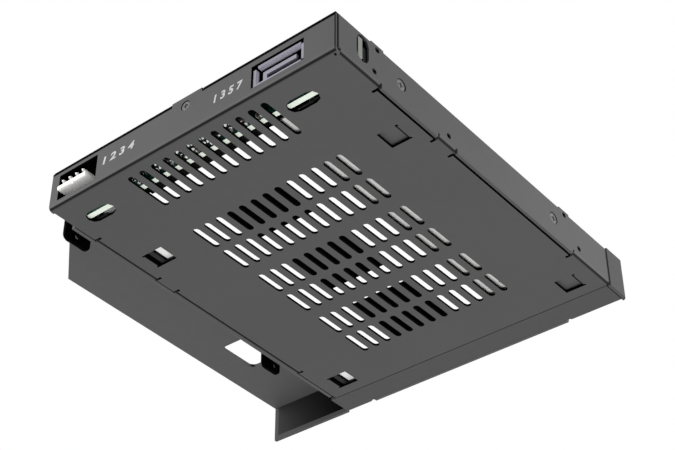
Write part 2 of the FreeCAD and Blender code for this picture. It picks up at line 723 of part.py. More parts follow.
def cover_flange():
    """The turned-down edge that stiffens the cover just inside the left wall."""
    inside = INNER_LEFT + 0.1
    line = [(inside, WALL_TOP - COVER_FLANGE_DEPTH), (inside, BAY_HEIGHT), (inside + 3, BAY_HEIGHT)]
    line = line[::-1]
    y0 = LUG_PLACES[0] + LUG_LENGTH
    y1 = LUG_PLACES[1] - LUG_LENGTH
    return folded(line, COVER_SHEET, TRAY_BEND, "Y", y0, y1)


def cover_tongue():
    """The tongue behind the rear wall that takes the rear screw."""
    face = BAY_DEPTH - CASE_SHEET - 0.1
    line = [(face, REAR_SCREW_HEIGHT - 2.2), (face, BAY_HEIGHT), (face - 3, BAY_HEIGHT)]
    return folded(line, COVER_SHEET * 1.5, TRAY_BEND, "X", REAR_SCREW_PLACE - 3.2,
                  REAR_SCREW_PLACE + 3.2)


def side_wing():
    """Flange on the case and ledge beside it, with two ears bent down to take screws."""
    edge = BAY_WIDTH / 2
    line = [(edge, BAY_HEIGHT), (CASE_RIGHT, BAY_HEIGHT), (CASE_RIGHT, WING_FLANGE_BOTTOM)]
    front = BEZEL_SHEET
    flange_rear = BAY_DEPTH - WING_FLANGE_FROM_REAR
    ledge_rear = BAY_DEPTH - WING_LEDGE_FROM_REAR
    sheet = folded(line, WING_SHEET, WING_BEND, "Y", front, flange_rear)
    low = BAY_HEIGHT - WING_SHEET
    stem = EAR_PLACE - WING_SHEET - EAR_BEND - 0.2
    ear_top = BAY_HEIGHT + 1
    tools = [block(CASE_RIGHT - 1, CASE_RIGHT + WING_SHEET + 1.2, front - 1, WING_FLANGE_FRONT,
                   -1, ear_top)]
    relief = 0.5
    shoulder = min(BAY_DEPTH - WING_SHOULDER_FROM_REAR, EAR_PLACES[1] - EAR_LENGTHS[1] / 2)
    cut_points = [(stem, shoulder - relief), (EAR_PLACE + 0.3, shoulder - relief),
                  (EAR_PLACE + 0.3, shoulder), (edge - LEDGE_WIDTH * WING_CORNER_SHARE, shoulder),
                  (edge, ledge_rear), (edge + 1, ledge_rear),
                  (edge + 1, flange_rear + 1), (stem, flange_rear + 1)]
    tools.append(prism(cut_points, "Z", low - 1, ear_top))
    x0 = EAR_PLACE + WING_WINDOW_MARGIN
    x1 = x0 + LEDGE_WIDTH * WING_WINDOW_SHARE
    tools.append(prism([(x0, WING_WINDOW_FRONT), (x1, WING_WINDOW_FRONT),
                        (x1, WING_WINDOW_REAR), (x0, WING_WINDOW_REAR)],
                       "Z", low - 1, ear_top, WING_WINDOW_RADIUS))
    reach = EAR_LENGTHS[0] / 2 + relief
    tools.append(block(stem, x0 + WING_WINDOW_RADIUS, EAR_PLACES[0] - reach, EAR_PLACES[0] + reach,
                       low - 1, ear_top))
    sheet = cut(sheet, tools)
    pieces = [sheet]
    for y, length in zip(EAR_PLACES, EAR_LENGTHS):
        y0 = y - length / 2
        y1 = y + length / 2
        line = [(EAR_PLACE, EAR_BOTTOM), (EAR_PLACE, BAY_HEIGHT), (stem - 0.2, BAY_HEIGHT)]
        ear = folded(line, WING_SHEET, EAR_BEND, "Y", y0, y1)
        shape = outline([(y0, EAR_BOTTOM), (y1, EAR_BOTTOM), (y1, BAY_HEIGHT + 1), (y0, BAY_HEIGHT + 1)],
                        [EAR_RADIUS, EAR_RADIUS, 0, 0], "X", stem - 2)
        pieces.append(ear.common(extrusion(shape, "X", 6)))
    wing = fused(pieces)
    holes = [rod(EAR_PLACE - WING_SHEET - 1, y, MOUNT_HOLE_HEIGHT, MOUNT_HOLE_RADIUS,
                 WING_SHEET + 2, V(1, 0, 0)) for y in EAR_HOLE_PLACES]
    holes += [screw_hole(point, direction, SCREW_HEAD_RADIUS, SCREW_LENGTH)
              for point, direction in wall_screw_sites(1)]
    return cut(wing, holes)


def front_bezel():
    """Front plate with its bottom and side flanges, open where the tray comes through."""
    left = -BAY_WIDTH / 2
    edge = BEZEL_SHEET + BEZEL_BEND
    bottom_line = [(0.0, BAY_HEIGHT), (0.0, 0.0), (BEZEL_FLANGE, 0.0)]
    bottom = folded(bottom_line, BEZEL_SHEET, BEZEL_BEND, "X", left + edge, BEZEL_RETURN)
    side_line = [(left, BEZEL_FLANGE - SEAM), (left, 0.0), (left + edge + 0.4, 0.0)]
    side = folded(side_line, BEZEL_SHEET, BEZEL_BEND, "Z", 0.0, BAY_HEIGHT)
    side_low = block(left + edge, left + edge + 1, -1, 3, -1, edge)
    side = cut(side, [side_low])
    plate = block(BEZEL_RETURN, BAY_WIDTH / 2, 0.0, BEZEL_SHEET, 0.0, BAY_HEIGHT)
    door = block(DOOR_LEFT, DOOR_RIGHT, -1, edge, -1, BAY_HEIGHT - DOOR_LINTEL)
    chamfer = prism([(-1, BAY_HEIGHT - BEZEL_CHAMFER - 1), (-1, BAY_HEIGHT + 1),
                     (BEZEL_CHAMFER + 1, BAY_HEIGHT + 1)], "X", left - 1, left + BEZEL_SHEET)
    mouth = LIGHT_RADIUS + SCREW_CLEARANCE
    lights = [turned(V(LIGHT_PLACE, -1, z), V(0, 1, 0), [(0, mouth), (BEZEL_SHEET + 2, mouth)])
              for z in LIGHT_HEIGHTS]
    holes = [screw_hole(point, direction, SCREW_HEAD_RADIUS, SCREW_LENGTH)
             for point, direction in bezel_screw_sites()]
    return cut(fused([bottom, side, plate]), [door, chamfer] + lights + holes)


def rail_ribs(near, far):
    """Thin ribs across the inside of a rail."""
    ribs = []
    count = int((RAIL_REAR - CASE_FRONT) // RAIL_RIB_PITCH)
    for i in range(1, count + 1):
        y = CASE_FRONT + RAIL_RIB_PITCH * i
        ribs.append(block(min(near, far), max(near, far), y, y + RIB_THICK,
                          RAIL_TOP - RAIL_RIB_DROP, RAIL_TOP - RAIL_WALL / 2))
    return ribs


def guide_rail(side):
    """A moulded channel, open below, between the tray and a side wall; side is -1 or 1."""
    face = TRAY_MIDDLE + side * RAIL_FACE
    wall = face + side * RAIL_WALL
    outer = INNER_LEFT + 0.05 if side < 0 else INNER_RIGHT - 0.05
    skin = outer - side * RAIL_WALL
    front = BEZEL_SHEET + 0.1

    def span(a, b, y0, y1, z0, z1):
        return block(min(a, b), max(a, b), y0, y1, z0, z1)

    pieces = [span(face, wall, front, RAIL_REAR, RAIL_BOTTOM, RAIL_TOP),
              span(skin, outer, front, RAIL_REAR, RAIL_BOTTOM, RAIL_TOP),
              span(face, outer, front, RAIL_REAR, RAIL_TOP - RAIL_WALL, RAIL_TOP)]
    lip_low = CASE_SHEET + SCREW_CLEARANCE
    pieces.append(span(face - side * LIP_REACH, wall, CASE_FRONT + SEAM, RAIL_REAR,
                       lip_low, lip_low + LIP_THICK))
    if side < 0:
        foot_low = lip_low + FOOT_RISE
        pieces.append(span(face, left_clip_bend() + FOOT_GAP, CASE_FRONT + SEAM, RAIL_REAR,
                           foot_low, foot_low + LIP_THICK))
    pieces.append(span(face, wall, CASE_FRONT + SEAM, RAIL_REAR, lip_low, RAIL_BOTTOM + 1))
    pieces += rail_ribs(wall - side * RAIL_WALL / 4, skin + side * RAIL_WALL / 4)
    boss = [(0.0, BOSS_RADIUS), (SCREW_LENGTH - CASE_SHEET, BOSS_RADIUS)]
    for point, direction in wall_screw_sites(side):
        pieces.append(turned(V(outer, point.y, point.z), direction, boss))
    for point, direction in bezel_screw_sites():
        if (point.x - TRAY_MIDDLE) * side > 0:
            pieces.append(block(point.x - BOSS_RADIUS, point.x + BOSS_RADIUS, front, front + 6,
                                point.z - BOSS_RADIUS, RAIL_TOP - 0.1))
    rail = fused(pieces)
    window = span(face - side * 1.0, wall + side * 1.0, SPRING_PLACE - SPRING_LENGTH / 2 - 0.4,
                  SPRING_PLACE + SPRING_LENGTH / 2 + 0.4, SPRING_WINDOW_LOW, SPRING_WINDOW_HIGH)
    tools = [window]
    for point, direction in wall_screw_sites(side) + bezel_screw_sites():
        tools.append(screw_hole(point, direction, SCREW_HEAD_RADIUS, SCREW_LENGTH))
    for bend, y, reach, clip_side in clip_sites():
        if clip_side != side:
            continue
        y0 = y - CLIP_WIDTH / 2
        y1 = y + CLIP_WIDTH / 2
        tools.append(span(bend - side * 0.15, bend + side * (CASE_SHEET + 0.15), y0, y1,
                          -1, reach + 1.0))
        if side > 0:
            tools.append(span(face - side * (LIP_REACH + 1), face - side * 0.6, y0, y1,
                              -1, lip_low + LIP_THICK + 0.1))
    return cut(rail, tools)


def rail_springs():
    """A bowed leaf in the window of each rail, pressing towards the tray."""
    leaves = []
    bow = TRAY_HALF + SPRING_GAP
    foot = RAIL_FACE + RAIL_WALL + SPRING_SHEET
    z0 = (SPRING_WINDOW_LOW + SPRING_WINDOW_HIGH - SPRING_HEIGHT) / 2
    half = SPRING_LENGTH / 2
    end = half + SPRING_FOOT
    outer_arc = Part.Arc(V(foot, SPRING_PLACE - half, z0), V(bow + SPRING_SHEET, SPRING_PLACE, z0),
                         V(foot, SPRING_PLACE + half, z0)).toShape()
    inner_arc = Part.Arc(V(foot - SPRING_SHEET, SPRING_PLACE + half, z0), V(bow, SPRING_PLACE, z0),
                         V(foot - SPRING_SHEET, SPRING_PLACE - half, z0)).toShape()
    caps = [Part.LineSegment(V(foot, SPRING_PLACE + half, z0),
                             V(foot - SPRING_SHEET, SPRING_PLACE + half, z0)).toShape(),
            Part.LineSegment(V(foot - SPRING_SHEET, SPRING_PLACE - half, z0),
                             V(foot, SPRING_PLACE - half, z0)).toShape()]
    bowed = Part.Face(Part.Wire([outer_arc, caps[0], inner_arc, caps[1]])).extrude(V(0, 0, SPRING_HEIGHT))
    feet = [block(foot - SPRING_SHEET, foot, min(a, b), max(a, b), z0, z0 + SPRING_HEIGHT)
            for a, b in ((SPRING_PLACE + half, SPRING_PLACE + end), (SPRING_PLACE - half, SPRING_PLACE - end))]
    leaf = fused([bowed] + feet)
    leaf.translate(V(TRAY_MIDDLE, 0, 0))
    leaves.append(leaf)
    leaves.append(mirrored(leaf, TRAY_MIDDLE))
    return Part.makeCompound(leaves)


def tray_frame():
    """Open frame of bare steel: two shelves with low walls, joined by two cross members."""
    front = BEZEL_SHEET + 1.2
    top = DRIVE_FLOOR + TRAY_WALL
    line = [(TRAY_LEFT, top), (TRAY_LEFT, TRAY_RISE), (TRAY_LEFT + TRAY_SHELF, TRAY_RISE)]
    side = folded(line, TRAY_SHEET, TRAY_BEND, "Y", front, TRAY_REAR)
    low_wall = [(FACE_DEPTH + 9, top + 1), (FACE_DEPTH + 13, top - 2.6), (TRAY_REAR - 22, top - 2.6),
                (TRAY_REAR - 18, top + 1)]
    side = cut(side, [prism(low_wall, "X", TRAY_LEFT - 1, TRAY_LEFT + TRAY_SHEET + 1)])
    gap = block(TRAY_LEFT + TRAY_SHEET, TRAY_LEFT + TRAY_SHELF + 1, front - 1,
                FACE_DEPTH + SEAM, 0, DRIVE_FLOOR + 1)
    side = cut(side, [gap])
    pieces = [side, mirrored(side, TRAY_MIDDLE)]
    inner = TRAY_HALF - TRAY_SHELF + 0.1
    for y in (TRAY_CROSS_FRONT, TRAY_REAR - TRAY_CROSS_FROM_END):
        pieces.append(block(TRAY_MIDDLE - inner, TRAY_MIDDLE + inner, y, y + TRAY_CROSS_DEPTH,
                            TRAY_RISE, DRIVE_FLOOR))
    frame = fused(pieces)
    holes = []
    for sign in (-1, 1):
        for back in (DRIVE_HOLE_REAR, DRIVE_HOLE_FRONT):
            x = TRAY_MIDDLE + sign * DRIVE_HOLE_SPAN / 2
            y = DRIVE_REAR - back
            holes.append(rod(x, y, TRAY_RISE - 1, DRIVE_HOLE_RADIUS, 4, V(0, 0, 1)))
            start = V(TRAY_MIDDLE + sign * (TRAY_HALF + 1), y, DRIVE_FLOOR + DRIVE_SIDE_HOLE_HEIGHT)
            stations = [(0, DRIVE_HOLE_RADIUS), (TRAY_SHEET + 2, DRIVE_HOLE_RADIUS)]
            holes.append(turned(start, V(-sign, 0, 0), stations))
    holes += [screw_hole(point, direction, TRAY_SCREW_HEAD, TRAY_SCREW_LENGTH)
              for point, direction in tray_screw_sites()]
    return cut(frame, holes)


def tray_screw_sites():
    """Point and direction of the screws that hold the face between the tray's walls."""
    z = (DRIVE_FLOOR + DRIVE_FLOOR + TRAY_WALL) / 2
    y = (BEZEL_SHEET + 1.2 + FACE_DEPTH) / 2
    return [(V(TRAY_MIDDLE + sign * TRAY_HALF, y, z), V(-sign, 0, 0)) for sign in (-1, 1)]


def face_cheek():
    """Half the width of the tray face behind its plate."""
    return TRAY_HALF - TRAY_SHEET - 0.05


def pocket():
    """Corners of the pocket that the lever folds into: x0, x1, z0, z1."""
    x0 = FACE_LEFT + POCKET_LEFT
    half = POCKET_HEIGHT / 2
    return x0, x0 + POCKET_LENGTH, POCKET_MIDDLE - half, POCKET_MIDDLE + half


def button_middle():
    """Place of the release button across the width."""
    return pocket()[1] + BUTTON_SPACE


def tray_face():
    """Moulded front of the tray: plate, lever pocket, button well, vents and screw cheeks."""
    plate = prism([(FACE_LEFT, FACE_FOOT), (FACE_RIGHT, FACE_FOOT), (FACE_RIGHT, FACE_TOP),
                   (FACE_LEFT, FACE_TOP)], "Y", 0.0, FACE_PLATE, 0.35)
    cheek = face_cheek()
    front = BEZEL_SHEET + 0.3
    body = block(TRAY_MIDDLE - cheek, TRAY_MIDDLE + cheek, front, FACE_DEPTH, FACE_LOW, FACE_TOP)
    neck = block(FACE_LEFT, FACE_RIGHT, FACE_PLATE / 2, FACE_DEPTH, FACE_LOW, FACE_TOP)
    x0, x1, z0, z1 = pocket()
    hollow_front = FACE_PLATE + 0.6
    middle = button_middle()
    well = BUTTON_WIDTH / 2 + 2.4
    hollows = [block(middle + well, FACE_RIGHT - FACE_WALL, hollow_front, FACE_DEPTH + 1,
                     FACE_LOW + FACE_WALL, FACE_TOP - FACE_WALL)]
    hollows += [block(x0 + 6, x1 - 2, POCKET_DEPTH + FACE_WALL, FACE_DEPTH + 1,
                      FACE_LOW + FACE_WALL, FACE_TOP - FACE_WALL)]
    shell = cut(fused([plate, body, neck]), hollows)
    pocket_cut = prism([(x0, z0), (x1, z0), (x1, z1), (x0, z1)], "Y", -1, POCKET_DEPTH, 0.5)
    play = BUTTON_PLAY
    hole = block(middle - BUTTON_WIDTH / 2 - play, middle + BUTTON_WIDTH / 2 + play, -1, 3,
                 POCKET_MIDDLE - BUTTON_HEIGHT / 2 - play, POCKET_MIDDLE + BUTTON_HEIGHT / 2 + play)
    chamber = block(middle - BUTTON_WIDTH / 2 - play - BUTTON_FLANGE,
                    middle + BUTTON_WIDTH / 2 + play + BUTTON_FLANGE, hollow_front, FACE_DEPTH - FACE_WALL,
                    POCKET_MIDDLE - BUTTON_HEIGHT / 2 - play - BUTTON_FLANGE,
                    POCKET_MIDDLE + BUTTON_HEIGHT / 2 + play + BUTTON_FLANGE)
    pin_hole = rod(PIN_X, KNUCKLE_RADIUS, z0 - 1.0, PIN_RADIUS + 0.02, POCKET_HEIGHT + 2.0, V(0, 0, 1))
    vents = []
    count = int((x1 - x0 - 6) // FACE_VENT_PITCH)
    for i in range(count):
        x = x0 + 7 + FACE_VENT_PITCH * i
        vents.append(slot(x, x + FACE_VENT_LENGTH, POCKET_MIDDLE - FACE_VENT_HEIGHT / 2,
                             POCKET_MIDDLE + FACE_VENT_HEIGHT / 2, "Y", POCKET_DEPTH - 1,
                             POCKET_DEPTH + FACE_WALL + 1))
    grille = []
    first = middle + well + 1.2
    count = int((FACE_RIGHT - FACE_WALL - first) // 2.0)
    for i in range(count):
        x = first + 2.0 * i
        grille.append(slot(x, x + 1.0, FACE_LOW + FACE_WALL + 0.6, FACE_TOP - FACE_WALL - 0.6,
                              "Y", -1, hollow_front + 1))
    seats = [screw_hole(point, direction, TRAY_SCREW_HEAD, TRAY_SCREW_LENGTH)
             for point, direction in tray_screw_sites()]
    tools = [pocket_cut, hole, chamber, pin_hole] + vents + grille + seats
    return cut(shell, tools)


def tray_lever():
    """Lever that lies flush in the tray face and swings out on its pin."""
    low = POCKET_MIDDLE - LEVER_HEIGHT / 2
    tip = pocket()[1] - LEVER_END_GAP
    body = outline([(PIN_X, 0.0), (tip, 0.0), (tip, LEVER_THICK), (PIN_X, LEVER_THICK)],
                   [0, 0.6, 0.6, 0], "Z", low)
    arm = extrusion(body, "Z", LEVER_HEIGHT)
    knuckle = rod(PIN_X, KNUCKLE_RADIUS, low, KNUCKLE_RADIUS, LEVER_HEIGHT, V(0, 0, 1))
    lever = fused([arm, knuckle])
    scallop = Part.makeCylinder(LEVER_SCALLOP, LEVER_HEIGHT + 2,
                                V(tip - LEVER_GRIP / 2,
                                  LEVER_THICK + LEVER_SCALLOP - LEVER_SCALLOP_DEPTH, low - 1))
    bore = rod(PIN_X, KNUCKLE_RADIUS, low - 1, PIN_RADIUS + PIN_PLAY, LEVER_HEIGHT + 2, V(0, 0, 1))
    groove = slot(PIN_X + 6, tip - LEVER_GRIP - 2, POCKET_MIDDLE - 0.8, POCKET_MIDDLE + 0.8,
                     "Y", -1, 0.35)
    return cut(lever, [bore, groove, scallop])


def lever_pin():
    """Pin that the lever turns on, held above and below the pocket."""
    z0 = pocket()[2]
    return rod(PIN_X, KNUCKLE_RADIUS, z0 - 1.0, PIN_RADIUS, POCKET_HEIGHT + 2.0, V(0, 0, 1))


def lever_spring():
    """A leaf behind the lever that starts it outwards once it is let go."""
    start = PIN_X + LEVER_SPRING_PLACE
    end = start + LEVER_SPRING_LENGTH
    foot = LEVER_SPRING_FOOT
    back = POCKET_DEPTH
    crest = LEVER_THICK + 0.3
    z = POCKET_MIDDLE - 2.6
    outer = Part.Arc(V(start, back, z), V((start + end) / 2, crest, z), V(end, back, z)).toShape()
    inner = Part.Arc(V(end - foot, back, z), V((start + end) / 2, crest + 0.25, z),
                     V(start + foot, back, z)).toShape()
    sides = [Part.LineSegment(V(end, back, z), V(end - foot, back, z)).toShape(),
             Part.LineSegment(V(start + foot, back, z), V(start, back, z)).toShape()]
    return Part.Face(Part.Wire([outer, sides[0], inner, sides[1]])).extrude(V(0, 0, 1.6))


def release_button():
    """Push button that frees the lever, held in the face by its flange."""
    middle = button_middle()
    half = BUTTON_WIDTH / 2
    tall = BUTTON_HEIGHT / 2
    cap = block(middle - half, middle + half, 0.0, BUTTON_DEPTH,
                POCKET_MIDDLE - tall, POCKET_MIDDLE + tall)
    reach = BUTTON_FLANGE
    start = FACE_PLATE + 0.7
    flange = block(middle - half - reach, middle + half + reach, start, start + 0.8,
                   POCKET_MIDDLE - tall - reach, POCKET_MIDDLE + tall + reach)
    dish = Part.makeCylinder(DISH_RADIUS, BUTTON_HEIGHT + 2,
                             V(middle, DISH_DEPTH - DISH_RADIUS, POCKET_MIDDLE - tall - 1))
    socket = rod(middle, BUTTON_DEPTH - 1.4, POCKET_MIDDLE, BUTTON_SPRING_RADIUS + 0.45, 3, V(0, 1, 0))
    return cut(fused([cap, flange]), [dish, socket])


def button_spring():
    """Coil that pushes the button back out, seated in the button and on the well."""
    middle = button_middle()
    start = BUTTON_DEPTH - 1.4
    length = FACE_DEPTH - FACE_WALL - start - BUTTON_WIRE
    half = BUTTON_WIRE / 2
    sections = []
    steps = BUTTON_TURNS * COIL_SIDES
    for i in range(steps + 1):
        angle = 2 * math.pi * i / COIL_SIDES
        y = start + half + length * i / steps
        spoke = V(math.cos(angle), 0, math.sin(angle))
        centre = V(middle, y, POCKET_MIDDLE)
        square = [centre + spoke * (BUTTON_SPRING_RADIUS + a * half) + V(0, b * half, 0)
                  for a, b in ((-1, -1), (1, -1), (1, 1), (-1, 1))]
        sections.append(Part.makePolygon(square + square[:1]))
    return Part.makeLoft(sections, True, True)


def backplane_board():
    """Upright board just above the floor, with an ear in the wall slot."""
    pieces = [block(BOARD_LEFT, BOARD_RIGHT, BOARD_FRONT, BOARD_REAR, BOARD_LOW, BOARD_TOP)]
    pieces.append(block(CASE_LEFT + 0.15, BOARD_LEFT, BOARD_FRONT, BOARD_REAR, BOARD_EAR_LOW,
                        BOARD_EAR_HIGH))
    return fused(pieces)


def receptacle_parts():
    """Extents of the drive receptacle and of its two slots."""
    x0 = TRAY_MIDDLE - RECEPTACLE_WIDTH / 2
    x1 = TRAY_MIDDLE + RECEPTACLE_WIDTH / 2
    power = (x0 + 3.6, x0 + 3.6 + CONTACT_PITCH * 15 + 1.4)
    data = (power[1] + 2.4, power[1] + 2.4 + CONTACT_PITCH * 7 + 1.4)
    return x0, x1, power, data


def drive_receptacle():
    """Receptacle that the drive plugs into: one body with a power and a data slot."""
    x0, x1, power, data = receptacle_parts()
    front = BOARD_FRONT - RECEPTACLE_DEPTH
    body = block(x0, x1, front, BOARD_FRONT, RECEPTACLE_LOW, RECEPTACLE_HIGH)
    middle = (RECEPTACLE_LOW + RECEPTACLE_HIGH) / 2
    slots = []
    for a, b in (power, data):
        slots.append(block(a, b, front - 1, BOARD_FRONT - 1.0, middle - 0.9, middle + 1.1))
        slots.append(block(a, a + 1.3, front - 1, BOARD_FRONT - 1.0, middle - 2.0, middle))
    relief = block(x1 - 2.4, x1 + 1, front - 1, front + 1.6, RECEPTACLE_LOW - 1, RECEPTACLE_LOW + 2)
    return cut(body, slots + [relief, mirrored(relief, TRAY_MIDDLE)])


def receptacle_contacts():
    """Sprung contacts that line the top of both slots of the receptacle."""
    power, data = receptacle_parts()[2:]
    middle = (RECEPTACLE_LOW + RECEPTACLE_HIGH) / 2
    front = BOARD_FRONT - RECEPTACLE_DEPTH + 0.5
    strips = []
    for (a, b), count in ((power, 15), (data, 7)):
        for i in range(count):
            x = a + 0.7 + CONTACT_PITCH * (i + 0.5)
            strips.append(block(x - CONTACT_WIDTH / 2, x + CONTACT_WIDTH / 2, front, BOARD_FRONT - 1.0,
                                middle + 0.75, middle + 1.1))
    return Part.makeCompound(strips)


def data_header():
    """Shell round an L-shaped tongue, facing out through the rear wall."""
    x0 = DATA_PLACE - DATA_WIDTH / 2
    x1 = DATA_PLACE + DATA_WIDTH / 2
    z0 = DATA_MIDDLE - DATA_HEIGHT / 2
    z1 = DATA_MIDDLE + DATA_HEIGHT / 2
    end = BOARD_REAR + DATA_REACH
    body = block(x0, x1, BOARD_REAR, end, z0, z1)
    w = DATA_WALL
    cavity = block(x0 + w, x1 - w, BOARD_REAR + 1.5, end + 1, z0 + w, z1 - w)
    mouth = end - DATA_NOTCH_DEPTH
    notches = [block(x0 - 1, x0 + w + 0.2, mouth, end + 1, z0 - 1, z0 + w),
               block(x0 - 1, x0 + w + 0.2, mouth, end + 1, z1 - w, z1 + 1),
               block(x1 - w * 1.8, x1 + 1, mouth, end + 1, z1 - w, z1 + 1)]
    return fused([cut(body, [cavity] + notches), data_tongue()])


def data_tongue():
    """The L-shaped tongue inside the data header."""
    left = DATA_PLACE + DATA_TONGUE_ASIDE - CONTACT_PITCH * 4.1
    right = DATA_PLACE + DATA_TONGUE_ASIDE + CONTACT_PITCH * 4.1
    end = BOARD_REAR + DATA_REACH - 0.8
    flat = block(left, right, BOARD_REAR + 1, end, DATA_MIDDLE - 0.1, DATA_MIDDLE + 1.1)
    foot = block(right - 1.2, right, BOARD_REAR + 1, end, DATA_MIDDLE - 1.5, DATA_MIDDLE)
    return fused([flat, foot])


def data_contacts():
    """Seven flat contacts on the upper side of the data tongue."""
    end = BOARD_REAR + DATA_REACH - 1.3
    strips = []
    for i in range(7):
        x = DATA_PLACE + DATA_TONGUE_ASIDE + CONTACT_PITCH * (i - 3)
        strips.append(block(x - CONTACT_WIDTH / 2, x + CONTACT_WIDTH / 2, BOARD_REAR + 1.5, end,
                            DATA_MIDDLE + 1.1, DATA_MIDDLE + 1.3))
    return Part.makeCompound(strips)


def power_header():
    """White header: a block on the board and a plain shelf, notched once, under the pins."""
    x0 = POWER_PLACE - POWER_WIDTH / 2
    x1 = POWER_PLACE + POWER_WIDTH / 2
    low = POWER_SHELF_TOP - POWER_SHELF_THICK
    end = BAY_DEPTH + POWER_PROUD
    block_end = BOARD_REAR + 2.8
    header = fused([block(x0, x1, BOARD_REAR, block_end, low, POWER_PIN_HEIGHT + 1.6),
                    block(x0, x1, BOARD_REAR, end, low, POWER_SHELF_TOP)])
    half = POWER_NOTCH_WIDTH / 2
    tools = [block(POWER_PLACE - half, POWER_PLACE + half, end - POWER_NOTCH_DEPTH, end + 1,
                   low - 1, low + POWER_NOTCH_DEPTH)]
    side = POWER_PIN_SIDE / 2 + 0.02
    for x in power_pin_places():
        tools.append(block(x - side, x + side, BOARD_REAR - 1, block_end + 1,
                           POWER_PIN_HEIGHT - side, POWER_PIN_HEIGHT + side))
    return cut(header, tools)


def power_pin_places():
    """Places of the power pins across the width."""
    first = POWER_PLACE - POWER_PITCH * (POWER_PINS - 1) / 2
    return [first + POWER_PITCH * i for i in range(POWER_PINS)]


def power_pins():
    """Square pins of the power header."""
    side = POWER_PIN_SIDE / 2
    return Part.makeCompound([block(x - side, x + side, BOARD_REAR, BAY_DEPTH - 0.6,
                                    POWER_PIN_HEIGHT - side, POWER_PIN_HEIGHT + side)
                              for x in power_pin_places()])


def board_chips():
    """Moulded chips on the rear of the board."""
    chips = []
    middle = (BOARD_LEFT + BOARD_RIGHT) / 2
    half = (BOARD_RIGHT - BOARD_LEFT) / 2
    for share, z, wide, tall in CHIPS:
        x = middle + half * share
        chips.append(block(x - wide / 2, x + wide / 2, BOARD_REAR, BOARD_REAR + CHIP_DEPTH,
                           z - tall / 2, z + tall / 2))
    return Part.makeCompound(chips)


def board_capacitors():
    """Small block capacitors in a row along the foot of the board's rear."""
    blocks = []
    middle = (BOARD_LEFT + BOARD_RIGHT) / 2
    half = (BOARD_RIGHT - BOARD_LEFT) / 2
    for i in range(CAPACITOR_COUNT):
        x = middle + half * (CAPACITOR_FIRST + CAPACITOR_PITCH * i)
        blocks.append(block(x - CAPACITOR_WIDTH / 2, x + CAPACITOR_WIDTH / 2, BOARD_REAR,
                            BOARD_REAR + CAPACITOR_DEPTH, CAPACITOR_LOW, CAPACITOR_HIGH))
    return Part.makeCompound(blocks)


def light_pipes():
    """Clear rods that lead the status lights from the board to the bezel."""
    end = BOARD_FRONT - LED_DEPTH - 0.2
    stations = [(0.0, LIGHT_RADIUS), (end, LIGHT_RADIUS)]
    return Part.makeCompound([turned(V(LIGHT_PLACE, 0, z), V(0, 1, 0), stations)
                              for z in LIGHT_HEIGHTS])


def status_leds():
    """Light sources on the board, behind the rods."""
    return Part.makeCompound([block(LIGHT_PLACE - 0.8, LIGHT_PLACE + 0.8, BOARD_FRONT - LED_DEPTH,
                                    BOARD_FRONT, z - 0.6, z + 0.6) for z in LIGHT_HEIGHTS])


def screws(sites, head_radius, length):
    """A group of flat screws, one for each site."""
    return Part.makeCompound([flat_screw(point, direction, head_radius, length)
                              for point, direction in sites])


def build():
    """Every piece by name."""
    point, direction = rear_screw_site()
    return {
        "lower_case": lower_case(),
        "top_cover": top_cover(),
        "side_wing": side_wing(),
        "front_bezel": front_bezel(),
        "guide_rail_left": guide_rail(-1),
        "guide_rail_right": guide_rail(1),
        "rail_springs": rail_springs(),
        "tray_frame": tray_frame(),
        "tray_face": tray_face(),
        "tray_lever": tray_lever(),
        "lever_pin": lever_pin(),
        "lever_spring": lever_spring(),
        "release_button": release_button(),
        "button_spring": button_spring(),
        "backplane_board": backplane_board(),
        "drive_receptacle": drive_receptacle(),
        "receptacle_contacts": receptacle_contacts(),
        "data_header": data_header(),
        "data_contacts": data_contacts(),
        "power_header": power_header(),
        "power_pins": power_pins(),
        "board_chips": board_chips(),
        "board_capacitors": board_capacitors(),
        "light_pipes": light_pipes(),
        "status_leds": status_leds(),
        "wall_screws": screws(wall_screw_sites(-1), SCREW_HEAD_RADIUS, SCREW_LENGTH),
        "wing_screws": screws(wall_screw_sites(1), SCREW_HEAD_RADIUS, SCREW_LENGTH),
        "bezel_screws": screws(bezel_screw_sites(), SCREW_HEAD_RADIUS, SCREW_LENGTH),
        "rear_screw": flat_screw(point, direction, REAR_SCREW_HEAD, CASE_SHEET + 1.2),
        "tray_screws": screws(tray_screw_sites(), TRAY_SCREW_HEAD, TRAY_SCREW_LENGTH),
    }


os.makedirs("parts", exist_ok=True)
for name, shape in build().items():
    shape = shape.copy()
    shape.translate(V(0, -DEPTH_OVER_ALL / 2, 0))
    shape.exportStep("parts/" + name + ".step")
    box = shape.BoundBox
    print(name, shape.isValid(), len(shape.Solids), round(shape.Volume, 1),
          [round(value, 2) for value in (box.XMin, box.XMax, box.YMin, box.YMax, box.ZMin, box.ZMax)])
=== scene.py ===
# %% [markdown]
# # A hot swap drive cage, seen from below and behind
# The cage is a flat box of folded sheet steel with a black powder coat. A tray slides out at
# the front, and a small board at the rear passes power and data through. The solids come from
# the frame, so this lesson adds what solids don't carry: finishes, turned screws with their
# recesses, solder, leads, printed pin numbers and light.

# %% Load the frame
import math

import bmesh
import bpy
import numpy as np
from mathutils import Matrix, Vector


